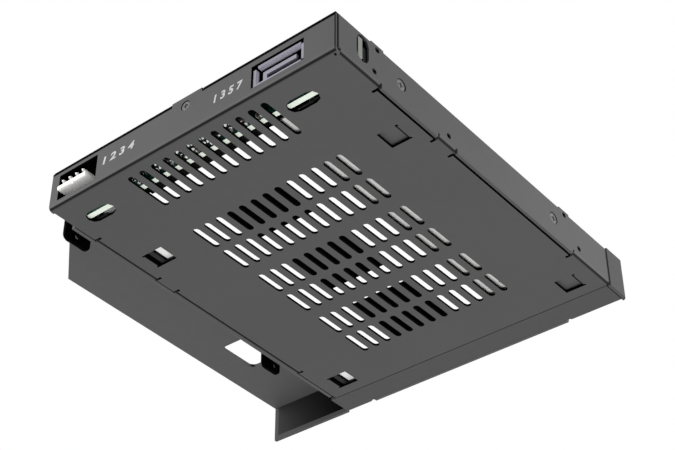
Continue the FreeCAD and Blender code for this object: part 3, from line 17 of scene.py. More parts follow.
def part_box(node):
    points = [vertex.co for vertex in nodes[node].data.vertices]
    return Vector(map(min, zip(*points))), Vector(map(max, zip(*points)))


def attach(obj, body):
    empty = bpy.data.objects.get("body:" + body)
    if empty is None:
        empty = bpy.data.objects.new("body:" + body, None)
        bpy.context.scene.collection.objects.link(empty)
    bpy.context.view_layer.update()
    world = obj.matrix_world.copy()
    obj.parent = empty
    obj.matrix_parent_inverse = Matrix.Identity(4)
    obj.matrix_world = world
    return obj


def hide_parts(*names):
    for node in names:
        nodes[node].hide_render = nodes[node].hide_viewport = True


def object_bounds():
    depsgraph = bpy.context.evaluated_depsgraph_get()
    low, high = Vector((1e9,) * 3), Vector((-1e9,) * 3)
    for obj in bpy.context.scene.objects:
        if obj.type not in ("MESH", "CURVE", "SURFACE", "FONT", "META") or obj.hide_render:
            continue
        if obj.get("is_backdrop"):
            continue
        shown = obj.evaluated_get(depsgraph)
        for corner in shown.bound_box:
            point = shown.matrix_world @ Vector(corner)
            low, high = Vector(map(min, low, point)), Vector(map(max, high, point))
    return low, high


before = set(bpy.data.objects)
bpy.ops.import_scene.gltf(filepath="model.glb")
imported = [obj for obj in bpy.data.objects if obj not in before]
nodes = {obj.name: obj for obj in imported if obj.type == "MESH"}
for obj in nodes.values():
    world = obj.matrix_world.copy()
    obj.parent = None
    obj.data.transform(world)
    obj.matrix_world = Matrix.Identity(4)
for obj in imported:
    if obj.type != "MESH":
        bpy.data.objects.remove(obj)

cad_low, cad_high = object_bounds()
MM = 0.001
print("solids:", len(nodes), "box in mm:", [round(v / MM, 2) for v in cad_high - cad_low])

# %% [markdown]
# ## The camera
# The photograph looks up at the slotted underside from behind, with a longish lens. A camera
# could be placed by trial, but straight edges of a known box fix it exactly, so its place and
# two of its axes are written here as measured. The small shift stands for the photograph
# having been cropped off its centre.

# %% Place the camera
CAMERA_PLACE = Vector((-0.2300, 0.27052, -0.25522))
CAMERA_LOOK = Vector((0.52516, -0.58638, 0.61674)).normalized()
CAMERA_RIGHT = Vector((-0.75806, -0.65167, 0.02590)).normalized()
CAMERA_LENS = 84.76
CAMERA_SHIFT = (0.100, -0.0222)

camera_data = bpy.data.cameras.new("camera")
camera_data.lens = CAMERA_LENS
camera_data.shift_x, camera_data.shift_y = CAMERA_SHIFT
camera_data.clip_start = 0.01
camera = bpy.data.objects.new("camera", camera_data)
bpy.context.scene.collection.objects.link(camera)
back = -CAMERA_LOOK
up = back.cross(CAMERA_RIGHT)
turn = Matrix((CAMERA_RIGHT, up, back)).transposed().to_4x4()
camera.matrix_world = Matrix.Translation(CAMERA_PLACE) @ turn
bpy.context.scene.camera = camera
bpy.context.scene.view_settings.view_transform = "Standard"
print("camera looks along", [round(v, 3) for v in CAMERA_LOOK])

# %% [markdown]
# ## Helpers for shader nodes
# A material is a small graph. Adding a node, giving it values and linking its inputs takes
# several lines each time, so one helper does all three: a value that is a socket is linked,
# and any other value is set.

# %% Node helpers


def node(tree, kind, values=None, **settings):
    """Adds a node. values maps input names or numbers to plain values or sockets."""
    made = tree.nodes.new(kind)
    for name, setting in settings.items():
        setattr(made, name, setting)
    for key, value in (values or {}).items():
        if isinstance(value, bpy.types.NodeSocket):
            tree.links.new(value, made.inputs[key])
        else:
            made.inputs[key].default_value = value
    return made


def maths(tree, operation, first, second=0.0, clamp=False):
    """One Math node's result."""
    made = node(tree, "ShaderNodeMath", {0: first, 1: second}, operation=operation, use_clamp=clamp)
    return made.outputs[0]


def mixed(tree, factor, first, second):
    """A colour between two others. Inputs 6 and 7 and output 2 are the Mix node's colours."""
    return node(tree, "ShaderNodeMix", {0: factor, 6: first, 7: second}, data_type="RGBA").outputs[2]


def between(tree, value, low, high, first=0.0, second=1.0):
    """value from low to high as a number from first to second, held at both ends."""
    made = node(tree, "ShaderNodeMapRange", {0: value, 1: low, 2: high, 3: first, 4: second})
    return made.outputs[0]


def grey(level):
    """A colour of equal parts."""
    return (level, level, level, 1.0)


def new_group(name, inputs, outputs):
    """An empty shader group with named sockets, and its two end nodes."""
    tree = bpy.data.node_groups.new(name, "ShaderNodeTree")
    for socket, kind, value in inputs:
        made = tree.interface.new_socket(name=socket, in_out="INPUT", socket_type=kind)
        if value is not None:
            made.default_value = value
    for socket, kind in outputs:
        tree.interface.new_socket(name=socket, in_out="OUTPUT", socket_type=kind)
    start = tree.nodes.new("NodeGroupInput").outputs
    end = tree.nodes.new("NodeGroupOutput").inputs
    return tree, start, end


FLOAT = "NodeSocketFloat"
VECTOR = "NodeSocketVector"

# %% [markdown]
# ## Effects that several finishes share
# Sprayed powder, moulded plastic and rolled steel differ in colour, but share a few effects:
# a fine grain, an edge that is rubbed, a large soft smudge, long rolling marks, and the painted
# shade of a closed inside and of folds. Each effect is one group, built once and given its own
# numbers in each material. A group hands out masks only, and the shader stays in the material.

# %% Fine grain
grain_group, start, end = new_group(
    "fine_grain",
    [("Vector", VECTOR, None), ("Scale", FLOAT, 2500.0), ("Contrast", FLOAT, 1.0)],
    [("Height", FLOAT), ("Tone", FLOAT)])
coarse = node(grain_group, "ShaderNodeTexNoise",
              {"Vector": start["Vector"], "Scale": start["Scale"], "Detail": 3.0, "Roughness": 0.6})
broad_scale = maths(grain_group, "MULTIPLY", start["Scale"], 0.13)
broad = node(grain_group, "ShaderNodeTexNoise",
             {"Vector": start["Vector"], "Scale": broad_scale, "Detail": 2.0})
centred = maths(grain_group, "SUBTRACT", coarse.outputs[0], 0.5)
spread = maths(grain_group, "MULTIPLY", centred, start["Contrast"])
grain_group.links.new(coarse.outputs[0], end["Height"])
both = maths(grain_group, "ADD", spread, maths(grain_group, "SUBTRACT", broad.outputs[0], 0.5))
grain_group.links.new(maths(grain_group, "ADD", both, 0.5, clamp=True), end["Tone"])

# %% Rubbed edges
edge_group, start, end = new_group(
    "rubbed_edge",
    [("Vector", VECTOR, None), ("Radius", FLOAT, 0.0002), ("Amount", FLOAT, 1.0)],
    [("Mask", FLOAT)])
rounded = node(edge_group, "ShaderNodeBevel", {"Radius": start["Radius"]}, samples=4)
plain = node(edge_group, "ShaderNodeNewGeometry")
meeting = node(edge_group, "ShaderNodeVectorMath",
               {0: rounded.outputs[0], 1: plain.outputs["Normal"]}, operation="DOT_PRODUCT")
bent = maths(edge_group, "SUBTRACT", 1.0, meeting.outputs["Value"])
near_edge = between(edge_group, bent, 0.02, 0.16)
patches = node(edge_group, "ShaderNodeTexNoise",
               {"Vector": start["Vector"], "Scale": 180.0, "Detail": 4.0, "Roughness": 0.7})
broken = between(edge_group, patches.outputs[0], 0.35, 0.65, 0.25, 1.0)
worn = maths(edge_group, "MULTIPLY", near_edge, broken)
edge_group.links.new(maths(edge_group, "MULTIPLY", worn, start["Amount"], clamp=True), end["Mask"])

# %% Smudges and rolling marks
smudge_group, start, end = new_group(
    "smudge", [("Vector", VECTOR, None), ("Scale", FLOAT, 25.0)], [("Mask", FLOAT)])
cloud = node(smudge_group, "ShaderNodeTexNoise",
             {"Vector": start["Vector"], "Scale": start["Scale"], "Detail": 5.0, "Roughness": 0.55})
smudge_group.links.new(between(smudge_group, cloud.outputs[0], 0.35, 0.7), end["Mask"])

rolled_group, start, end = new_group(
    "rolled_marks",
    [("Vector", VECTOR, None), ("Stretch", VECTOR, (4000.0, 60.0, 4000.0))],
    [("Tone", FLOAT)])
drawn_out = node(rolled_group, "ShaderNodeVectorMath",
                 {0: start["Vector"], 1: start["Stretch"]}, operation="MULTIPLY")
lines = node(rolled_group, "ShaderNodeTexNoise",
             {"Vector": drawn_out.outputs[0], "Scale": 1.0, "Detail": 3.0, "Roughness": 0.65})
rolled_group.links.new(lines.outputs[0], end["Tone"])

# %% Folds
# Half way round a fold the sheet faces none of the three axes. There the largest part of the
# normal falls to 0.71, so the mask is 1 below 0.80 and 0 from Least on. The coat paints shade
# along the folds with this mask.
fold_group, start, end = new_group("fold", [("Least", FLOAT, 0.95)], [("Mask", FLOAT)])
way = node(fold_group, "ShaderNodeNewGeometry").outputs["Normal"]
sizes = node(fold_group, "ShaderNodeVectorMath", {0: way}, operation="ABSOLUTE")
parts = node(fold_group, "ShaderNodeSeparateXYZ", {0: sizes.outputs[0]}).outputs
largest = maths(fold_group, "MAXIMUM", maths(fold_group, "MAXIMUM", parts[0], parts[1]), parts[2])
fold_group.links.new(between(fold_group, largest, 0.80, start["Least"], 1.0, 0.0), end["Mask"])

# %% Inside a box
# The mask is 1 deeper than Fade inside the box from Low to High, and 0 outside it:
# the least of the six distances to the box's faces, over Fade, held between 0 and 1.
inside_group, start, end = new_group(
    "inside_box",
    [("Vector", VECTOR, None), ("Low", VECTOR, None), ("High", VECTOR, None), ("Fade", FLOAT, 0.0002)],
    [("Mask", FLOAT)])
distances = []
for first, second in (("Vector", "Low"), ("High", "Vector")):
    depth = node(inside_group, "ShaderNodeVectorMath", {0: start[first], 1: start[second]},
                 operation="SUBTRACT")
    parts = node(inside_group, "ShaderNodeSeparateXYZ", {0: depth.outputs[0]})
    distances += list(parts.outputs)
least = distances[0]
for distance in distances[1:]:
    least = maths(inside_group, "MINIMUM", least, distance)
share = maths(inside_group, "DIVIDE", least, start["Fade"], clamp=True)
inside_group.links.new(share, end["Mask"])
print("groups:", sorted(group.name for group in bpy.data.node_groups))


# %% A material to start from
def new_material(name, **plain):
    """A material with one Principled shader; plain sets its sockets by name."""
    made = bpy.data.materials.new(name)
    made.use_nodes = True
    tree = made.node_tree
    tree.nodes.clear()
    shader = node(tree, "ShaderNodeBsdfPrincipled")
    for key, value in plain.items():
        shader.inputs[key.replace("_", " ")].default_value = value
    output = tree.nodes.new("ShaderNodeOutputMaterial")
    tree.links.new(shader.outputs[0], output.inputs["Surface"])
    place = tree.nodes.new("ShaderNodeTexCoord").outputs["Object"]
    return made, tree, shader, place


def grouped(tree, group, values):
    """A group placed in a material."""
    return node(tree, "ShaderNodeGroup", values, node_tree=group).outputs


def bumped(tree, shader, height, distance, strength=1.0):
    """Height as a bump on the shader's normal; distance is the bump's real height."""
    bump = node(tree, "ShaderNodeBump", {"Height": height, "Distance": distance, "Strength": strength})
    tree.links.new(bump.outputs[0], shader.inputs["Normal"])


# %% [markdown]
# ## Powder coat
# Powder coat is a matte black skin with a fine orange peel, a little paler where edges are
# rubbed. One function makes it for the case, cover, wing and bezel, so they match, and each
# gets the boxes in which its own surfaces face a closed inside. There a deep black is painted in
# as shade, as it looks behind the slots in the photograph. The folds get a dark line of painted
# shade too. Two boxes leave out the rounded folds: one keeps clear of the walls, and the other
# of the floor. A black metal reflects nothing, so the shade mask feeds Metallic too, which takes
# the pale sheen away where no light comes. Thin boxes round the outer skin of the rear wall
# paint as shade the dark line under the cover's edge along its top, on both sides of the
# screw's tab, and a dark end at the data socket's corner. The wing and the bezel take paler
# copies of the coat, as painted light.

# %% Powder coat
COAT = 0.032
# Painted shade: deep black inside closed boxes, and a dark line along the folds.
COAT_SHADE = 0.002
COAT_RUBBED = 0.08
COAT_FOLD_SHADE = 0.003
# The wing and the bezel are paler copies of the coat, as painted light.
WING_COAT_LIT = COAT * 1.6
BEZEL_COAT_LIT = COAT * 1.4


def powder_coat(name, insides, level=COAT, deep=COAT_SHADE, specular=0.42, outward=None):
    """Matte coat with fine grain and rubbed edges, and painted shade: dark folds, and deep black
    inside any of the boxes insides. outward holds the places along X between which that painted
    black thins out to about a third."""
    made, tree, shader, place = new_material(name, Specular_IOR_Level=specular)
    grain = grouped(tree, grain_group, {"Vector": place, "Scale": 2600.0, "Contrast": 0.9})
    edge = grouped(tree, edge_group, {"Vector": place, "Radius": 0.12 * MM, "Amount": 0.3})
    smudge = grouped(tree, smudge_group, {"Vector": place, "Scale": 22.0})
    closed = 0.0
    for low, high in insides:
        inside = grouped(tree, inside_group, {"Vector": place, "Low": low, "High": high, "Fade": FADE})
        closed = maths(tree, "MAXIMUM", inside["Mask"], closed)
    speckled = mixed(tree, grain["Tone"], grey(level * 0.93), grey(level * 1.07))
    rubbed = mixed(tree, edge["Mask"], speckled, grey(COAT_RUBBED))
    fold = grouped(tree, fold_group, {})
    # The folds are painted dark as shade.
    fold_shaded = mixed(tree, fold["Mask"], rubbed, grey(COAT_FOLD_SHADE))
    # outward lets the painted shade thin out along X, away from the case.
    if outward:
        across = node(tree, "ShaderNodeSeparateXYZ", {0: place}).outputs[0]
        closed = maths(tree, "MULTIPLY", closed, between(tree, across, outward[0], outward[1], 1.0, 0.35))
    # Inside the boxes the coat is painted deep black as shade.
    tree.links.new(mixed(tree, closed, fold_shaded, grey(deep)), shader.inputs["Base Color"])
    # The same painted shade takes the sheen away, inside and along the folds.
    no_sheen = maths(tree, "MAXIMUM", closed, maths(tree, "MULTIPLY", fold["Mask"], 0.75))
    tree.links.new(no_sheen, shader.inputs["Metallic"])
    rough = between(tree, smudge["Mask"], 0.0, 1.0, 0.60, 0.68)
    smoother = maths(tree, "MULTIPLY", edge["Mask"], 0.12)
    outer = maths(tree, "SUBTRACT", rough, smoother)
    deeper = maths(tree, "MULTIPLY", closed, 0.4)
    tree.links.new(maths(tree, "ADD", outer, deeper, clamp=True), shader.inputs["Roughness"])
    bumped(tree, shader, grain["Height"], 0.012 * MM, 0.5)
    return made


case_low, case_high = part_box("lower_case")
wing_low, wing_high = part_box("side_wing")
bezel_low, bezel_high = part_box("front_bezel")
SKIN = 0.03 * MM
FADE = 0.06 * MM
FOLD_ROOM = 1.4 * MM
CASE_WALL_ROOM = 0.5 * MM
BEZEL_WALL_ROOM = 0.9 * MM
EAR_INNER = 1.2 * MM
EAR_OUTER = 6.3 * MM
EAR_TOP = 1.7 * MM
COVER_SHEET = 0.6 * MM
# The rear wall's line of painted shade under the cover's edge, and at its corner:
REAR_LINE = 0.8 * MM
REAR_LINE_DEEP = 0.3 * MM
CORNER_LINE = 0.5 * MM
REAR_TAB_HALF = 5.1 * MM
REAR_TAB_FROM_SCREW = -0.40 * MM
skin = Vector((SKIN, SKIN, SKIN))


def within(low, high, x, y, z):
    """The box low to high, drawn in at both ends of X and Y and at its foot."""
    return low + Vector((x, y, z)), high - Vector((x, y, SKIN))


case_insides = [within(case_low, case_high, FOLD_ROOM, FOLD_ROOM, SKIN),
                within(case_low, case_high, CASE_WALL_ROOM, SKIN, FOLD_ROOM)]
screw_low, screw_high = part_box("rear_screw")
tab_middle = (screw_low.x + screw_high.x) / 2 + REAR_TAB_FROM_SCREW


def rear_shade_line(x0, x1, z0):
    """A box around the rear wall's outer skin between x0 and x1, from z0 up, where the coat is painted
    black as shade.
    """
    return (Vector((x0, case_high.y - REAR_LINE_DEEP, z0)),
            Vector((x1, case_high.y + MM, case_high.z + MM)))


line_foot = case_high.z - COVER_SHEET - REAR_LINE
case_shade_lines = [rear_shade_line(case_low.x - MM, tab_middle - REAR_TAB_HALF, line_foot),
              rear_shade_line(tab_middle + REAR_TAB_HALF, case_high.x + MM, line_foot),
              rear_shade_line(case_low.x - MM, case_low.x + CORNER_LINE, case_low.z - MM)]
bezel_insides = [within(bezel_low, bezel_high, FOLD_ROOM, FOLD_ROOM, SKIN),
                 within(bezel_low, bezel_high, FOLD_ROOM, BEZEL_WALL_ROOM, FOLD_ROOM)]
# The ear's face towards the case's wall is painted black as shade.
wing_ear_shade = (Vector((wing_low.x + EAR_INNER, wing_low.y - MM, wing_low.z - MM)),
               Vector((wing_low.x + EAR_OUTER, wing_high.y + MM, wing_high.z - EAR_TOP)))
coats = {
    "lower_case": powder_coat("case_coat", case_insides + case_shade_lines),
    # All of the cover inside the case's box is painted black as shade.
    "top_cover": powder_coat("cover_coat", [(case_low + skin, case_high - skin)], deep=0.001,
                             specular=0.12),
    "side_wing": powder_coat("wing_coat", [wing_ear_shade], level=WING_COAT_LIT, specular=0.25),
    # The bezel's back is painted dark as shade, darkest next to the case.
    "front_bezel": powder_coat("bezel_coat", bezel_insides, level=BEZEL_COAT_LIT, specular=0.15,
                               outward=(case_high.x, bezel_high.x)),
}
print("coats:", sorted(coats))

# %% [markdown]
# ## Moulded plastics
# The rails, the tray's front, the sockets and the chips are moulded, which shows as a low
# sheen, a very fine spark-eroded grain and slightly paler edges. One function takes the
# colour, the grain's size and the sheen.

# %% Moulded plastics


def moulded(name, colour, rough=0.45, grain_size=0.25 * MM, depth=0.006 * MM, edge_tone=1.8, spread=0.08,
            plate=None, specular=0.5):
    """Moulded plastic: fine grain, soft smudges in the sheen, paler edges. plate holds the corners
    of a box whose inside is painted a paler grey as painted light."""
    made, tree, shader, place = new_material(name, Specular_IOR_Level=specular)
    grain = grouped(tree, grain_group, {"Vector": place, "Scale": 1.0 / grain_size, "Contrast": 0.8})
    edge = grouped(tree, edge_group, {"Vector": place, "Radius": 0.12 * MM, "Amount": 0.5})
    smudge = grouped(tree, smudge_group, {"Vector": place, "Scale": 60.0})
    darker = tuple(part * (1 - spread) for part in colour) + (1.0,)
    lighter = tuple(min(part * (1 + spread), 1.0) for part in colour) + (1.0,)
    paler = tuple(min(part * edge_tone, 0.95) for part in colour) + (1.0,)
    tone = mixed(tree, grain["Tone"], darker, lighter)
    colour = mixed(tree, edge["Mask"], tone, paler)
    if plate:
        foot_lit = grouped(tree, inside_group, {"Vector": place, "Low": plate[0], "High": plate[1]})
        colour = mixed(tree, foot_lit["Mask"], colour, grey(FOOT_LIT_GREY))
    tree.links.new(colour, shader.inputs["Base Color"])
    sheen = between(tree, smudge["Mask"], 0.0, 1.0, rough - 0.05, rough + 0.07)
    tree.links.new(sheen, shader.inputs["Roughness"])
    bumped(tree, shader, grain["Height"], depth, 0.5)
    return made


# The left rail's foot, which shows through the floor's clip windows, is painted a paler grey than the
# black rail, as painted light.
rail_low, rail_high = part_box("guide_rail_left")
FOOT_LIT_GREY = 0.054
FOOT_WIDTH = 13 * MM
FOOT_FROM_REAR = 14 * MM
FOOT_HEIGHT = 1.0 * MM
FOOT = (Vector((rail_low.x - MM, rail_low.y, rail_low.z - MM)),
        Vector((rail_low.x + FOOT_WIDTH, rail_high.y - FOOT_FROM_REAR, rail_low.z + FOOT_HEIGHT)))
ACETAL = (0.008, 0.008, 0.008)
plastics = {
    "rail_acetal": moulded("rail_acetal", ACETAL, 0.6, specular=0.2),
    "rail_acetal_left": moulded("rail_acetal_left", ACETAL, 0.6, plate=FOOT, specular=0.2),
    "tray_moulding": moulded("tray_moulding", (0.030, 0.030, 0.031), 0.48, 0.3 * MM, 0.012 * MM),
    "button_moulding": moulded("button_moulding", (0.11, 0.11, 0.115), 0.38),
    "socket_moulding": moulded("socket_moulding", (0.004, 0.004, 0.004), 0.7, 0.12 * MM, specular=0.15),
    "white_moulding": moulded("white_moulding", (0.90, 0.89, 0.86), 0.4, 0.2 * MM, edge_tone=1.05,
                              spread=0.02),
    "chip_epoxy": moulded("chip_epoxy", (0.02, 0.02, 0.021), 0.55, 0.08 * MM),
    "capacitor_ceramic": moulded("capacitor_ceramic", (0.075, 0.062, 0.052), 0.45, 0.1 * MM),
    "lamp_resin": moulded("lamp_resin", (0.8, 0.74, 0.55), 0.3, 0.2 * MM, edge_tone=1.1),
}
print("plastics:", len(plastics))

# %% The lilac header
# The shell and its tongue are lilac at the mouth. The cavity's walls are painted paler for
# their first millimetre, as painted light, and black half a millimetre further in, as painted
# shade where no light comes. The tongue's painted shade sets in more slowly. The same mask
# feeds Metallic, so the shaded black loses its sheen.
LILAC = (0.16, 0.155, 0.19, 1.0)
LILAC_PALE = (0.36, 0.35, 0.43, 1.0)
LILAC_MOUTH_LIT = (0.50, 0.49, 0.58, 1.0)
LILAC_SHADED = (0.003, 0.003, 0.004, 1.0)
SHELL_WALL = 0.8 * MM
TONGUE_SIDE = 1.2 * MM
TONGUE_FOOT = 2.75 * MM
RIM_DEPTH = 0.1 * MM
WALLS_PALE, WALLS_BLACK = 1.0 * MM, 1.5 * MM
TONGUE_PALE, TONGUE_BLACK = 1.1 * MM, 2.0 * MM
MASK_FADE = 0.02 * MM
header_low, header_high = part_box("data_header")
contacts_low, contacts_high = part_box("data_contacts")
lilac, tree, shader, place = new_material("lilac_moulding", Roughness=0.42)
grain = grouped(tree, grain_group, {"Vector": place, "Scale": 5000.0, "Contrast": 0.6})
edge = grouped(tree, edge_group, {"Vector": place, "Radius": 0.15 * MM, "Amount": 0.7})
wall = Vector((SHELL_WALL - SKIN, 0.0, SHELL_WALL - SKIN))
cavity = grouped(tree, inside_group, {
    "Vector": place, "Fade": MASK_FADE,
    "Low": header_low + wall, "High": header_high - wall - Vector((0, RIM_DEPTH, 0))})
tongue = grouped(tree, inside_group, {
    "Vector": place, "Fade": MASK_FADE,
    "Low": Vector((contacts_low.x - TONGUE_SIDE, header_low.y, contacts_low.z - TONGUE_FOOT)),
    "High": Vector((contacts_high.x + TONGUE_SIDE, header_high.y, contacts_low.z + SKIN))})
along = node(tree, "ShaderNodeSeparateXYZ", {0: place}).outputs[1]
depth = maths(tree, "SUBTRACT", header_high.y, along)
tongue_dark = between(tree, depth, TONGUE_PALE, TONGUE_BLACK)
walls = maths(tree, "MULTIPLY", cavity["Mask"], maths(tree, "SUBTRACT", 1.0, tongue["Mask"]))
walls_dark = maths(tree, "MULTIPLY", walls, between(tree, depth, WALLS_PALE, WALLS_BLACK))
dark = maths(tree, "ADD", walls_dark, maths(tree, "MULTIPLY", tongue["Mask"], tongue_dark), clamp=True)
tree.links.new(dark, shader.inputs["Metallic"])
grained = mixed(tree, grain["Tone"], LILAC, tuple(part * 1.1 for part in LILAC))
tone = mixed(tree, edge["Mask"], grained, LILAC_PALE)
# The cavity's walls are painted a pale lilac as painted light.
lit = mixed(tree, walls, tone, LILAC_MOUTH_LIT)
tree.links.new(mixed(tree, dark, lit, LILAC_SHADED), shader.inputs["Base Color"])
bumped(tree, shader, grain["Height"], 0.005 * MM, 0.4)
plastics["lilac_moulding"] = lilac
print("lilac from", LILAC[:3], "to", LILAC_SHADED[:3])

# %% [markdown]
# ## Metals
# The tray is bare rolled steel, the springs and pins are drawn wire and the contacts are
# plated. Long faint marks along the rolling direction and a changing roughness keep bare
# metal from looking like grey paint.

# %% Metals


def metal(name, colour, rough, stretch, depth=0.002 * MM, spread=0.1, metallic=1.0, glint=0.0):
    """Bare metal with marks drawn out along one axis by the numbers in stretch. glint stands for
    points of the lamp's light on small domes, too fine for the render to catch."""
    made, tree, shader, place = new_material(name, Metallic=metallic, Emission_Color=grey(1.0),
                                             Emission_Strength=glint)
    marks = grouped(tree, rolled_group, {"Vector": place, "Stretch": stretch})
    smudge = grouped(tree, smudge_group, {"Vector": place, "Scale": 45.0})
    edge = grouped(tree, edge_group, {"Vector": place, "Radius": 0.1 * MM, "Amount": 0.4})
    darker = tuple(part * (1 - spread) for part in colour) + (1.0,)
    lighter = tuple(min(part * (1 + spread), 1.0) for part in colour) + (1.0,)
    paler = tuple(min(part * 1.25, 1.0) for part in colour) + (1.0,)
    tone = mixed(tree, marks["Tone"], darker, lighter)
    tree.links.new(mixed(tree, edge["Mask"], tone, paler), shader.inputs["Base Color"])
    base = between(tree, smudge["Mask"], 0.0, 1.0, rough - 0.05, rough + 0.08)
    ripple = between(tree, marks["Tone"], 0.3, 0.7, -0.06, 0.06)
    tree.links.new(maths(tree, "ADD", base, ripple), shader.inputs["Roughness"])
    bumped(tree, shader, marks["Tone"], depth, 0.4)
    return made


metals = {
    "rolled_steel": metal("rolled_steel", (0.59, 0.59, 0.58), 0.42, (3500.0, 70.0, 3500.0), metallic=0.2),
    "spring_steel": metal("spring_steel", (0.60, 0.59, 0.57), 0.3, (2500.0, 2500.0, 150.0)),
    "tin_plate": metal("tin_plate", (0.90, 0.89, 0.87), 0.3, (900.0, 200.0, 900.0), metallic=0.35),
    "bright_solder": metal("bright_solder", (0.95, 0.95, 0.94), 0.3, (900.0, 900.0, 900.0), metallic=0.1,
                           glint=0.45),
    "gold_plate": metal("gold_plate", (0.86, 0.62, 0.26), 0.24, (900.0, 200.0, 900.0)),
}
print("metals:", sorted(metals))


# %% Lever coat and black screws
# The lever is steel with a satin coat, and the screws are blackened, so their lit edges
# show a little of the metal under the black.
def blackened(name, level, rough, rubbed):
    """Thin black over steel: the rubbed edges turn metallic."""
    made, tree, shader, place = new_material(name)
    grain = grouped(tree, grain_group, {"Vector": place, "Scale": 3200.0, "Contrast": 0.7})
    edge = grouped(tree, edge_group, {"Vector": place, "Radius": 0.14 * MM, "Amount": rubbed})
    tone = mixed(tree, grain["Tone"], grey(level * 0.85), grey(level * 1.15))
    tree.links.new(mixed(tree, edge["Mask"], tone, grey(0.4)), shader.inputs["Base Color"])
    tree.links.new(maths(tree, "MULTIPLY", edge["Mask"], 0.8), shader.inputs["Metallic"])
    tree.links.new(between(tree, grain["Tone"], 0.3, 0.7, rough - 0.06, rough + 0.06),
                   shader.inputs["Roughness"])
    bumped(tree, shader, grain["Height"], 0.006 * MM, 0.4)
    return made


lever_satin = blackened("lever_satin", 0.045, 0.42, 0.4)
screw_black = blackened("screw_black", 0.075, 0.4, 0.4)

# %% [markdown]
# ## The board
# A circuit board is glass cloth and resin. Its broad faces carry green solder mask over
# copper tracks, and its cut edges show the bare laminate, which is pale and greenish. Which
# of the two shows depends only on the way a face points, so one material reads the surface
# normal. The tracks are a grid of thin bands, broken up by noise.

# %% Board
board, tree, shader, place = new_material("board_laminate", IOR=1.5)
geometry = node(tree, "ShaderNodeNewGeometry")
facing = node(tree, "ShaderNodeSeparateXYZ", {0: geometry.outputs["Normal"]})
broad_face = between(tree, maths(tree, "ABSOLUTE", facing.outputs[1]), 0.4, 0.6)
spot = node(tree, "ShaderNodeSeparateXYZ", {0: place})
TRACK_PITCH = 1.27 * MM
bands = []
for part in (spot.outputs[0], spot.outputs[2]):
    turns = maths(tree, "DIVIDE", part, TRACK_PITCH)
    offset = maths(tree, "SUBTRACT", maths(tree, "FRACT", turns), 0.5)
    bands.append(between(tree, maths(tree, "ABSOLUTE", offset), 0.13, 0.18, 1.0, 0.0))
choice = node(tree, "ShaderNodeTexNoise", {"Vector": place, "Scale": 160.0, "Detail": 0.0})
upright = between(tree, choice.outputs[0], 0.48, 0.52)
level_bands = maths(tree, "MULTIPLY", bands[1], maths(tree, "SUBTRACT", 1.0, upright))
tracks = maths(tree, "ADD", maths(tree, "MULTIPLY", bands[0], upright), level_bands, clamp=True)
MASK_GREEN = (0.004, 0.050, 0.030, 1.0)
TRACK_GREEN = (0.010, 0.110, 0.065, 1.0)
LAMINATE = (0.60, 0.64, 0.58, 1.0)
LAMINATE_DARK = (0.46, 0.51, 0.44, 1.0)
LAMINATE_END_SHADE = (0.13, 0.135, 0.125, 1.0)
mask_colour = mixed(tree, tracks, MASK_GREEN, TRACK_GREEN)
fibres = grouped(tree, rolled_group, {"Vector": place, "Stretch": (500.0, 9000.0, 500.0)})
edge_colour = mixed(tree, between(tree, fibres["Tone"], 0.35, 0.65), LAMINATE_DARK, LAMINATE)
# The end faces along X are painted darker, as shade.
end_face = between(tree, maths(tree, "ABSOLUTE", facing.outputs[0]), 0.4, 0.6)
edge_colour = mixed(tree, end_face, edge_colour, LAMINATE_END_SHADE)
tree.links.new(mixed(tree, broad_face, edge_colour, mask_colour), shader.inputs["Base Color"])
tree.links.new(between(tree, broad_face, 0.0, 1.0, 0.75, 0.28), shader.inputs["Roughness"])
bumped(tree, shader, tracks, 0.02 * MM, 0.6)

# %% Clear rods
# The rods that lead the lights forwards are polished acrylic, so they are plain glass with
# a faint roughness. Plain numbers stay on the shader's own sockets.
rod_clear = new_material("rod_clear", Base_Color=(0.93, 0.96, 0.98, 1.0), Roughness=0.06,
                         IOR=1.49, Transmission_Weight=0.9)[0]

# %% [markdown]
# ## Dress the solids
# The solids keep their meshes, and each one's first slot takes a finish. A table from piece
# to finish is easier to read and to change than thirty separate lines.

# %% Dress the solids
finishes = {
    **coats,
    "guide_rail_left": plastics["rail_acetal_left"],
    "guide_rail_right": plastics["rail_acetal"],
    "rail_springs": metals["spring_steel"],
    "tray_frame": metals["rolled_steel"],
    "tray_face": plastics["tray_moulding"],
    "tray_lever": lever_satin,
    "lever_pin": metals["spring_steel"],
    "lever_spring": metals["spring_steel"],
    "release_button": plastics["button_moulding"],
    "button_spring": metals["spring_steel"],
    "backplane_board": board,
    "drive_receptacle": plastics["socket_moulding"],
    "receptacle_contacts": metals["gold_plate"],
    "data_header": plastics["lilac_moulding"],
    "data_contacts": metals["gold_plate"],
    "power_header": plastics["white_moulding"],
    "power_pins": metals["tin_plate"],
    "board_chips": plastics["chip_epoxy"],
    "board_capacitors": plastics["capacitor_ceramic"],
    "light_pipes": rod_clear,
    "status_leds": plastics["lamp_resin"],
    "wall_screws": screw_black,
    "wing_screws": screw_black,
    "bezel_screws": screw_black,
    "rear_screw": screw_black,
    "tray_screws": metals["tin_plate"],
}
for name, finish in finishes.items():
    nodes[name].data.materials.clear()
    nodes[name].data.materials.append(finish)
missing = sorted(set(nodes) - set(finishes))
print("dressed:", len(finishes), "left plain:", missing)

# %% [markdown]
# ## Surfaces worked out as arrays
# Each new piece is a grid of points that a formula fills in one go. A grid becomes quads by
# index arithmetic, and several grids can be stacked into one mesh, so all the solder joints
# are one piece.

# %% Grid helpers


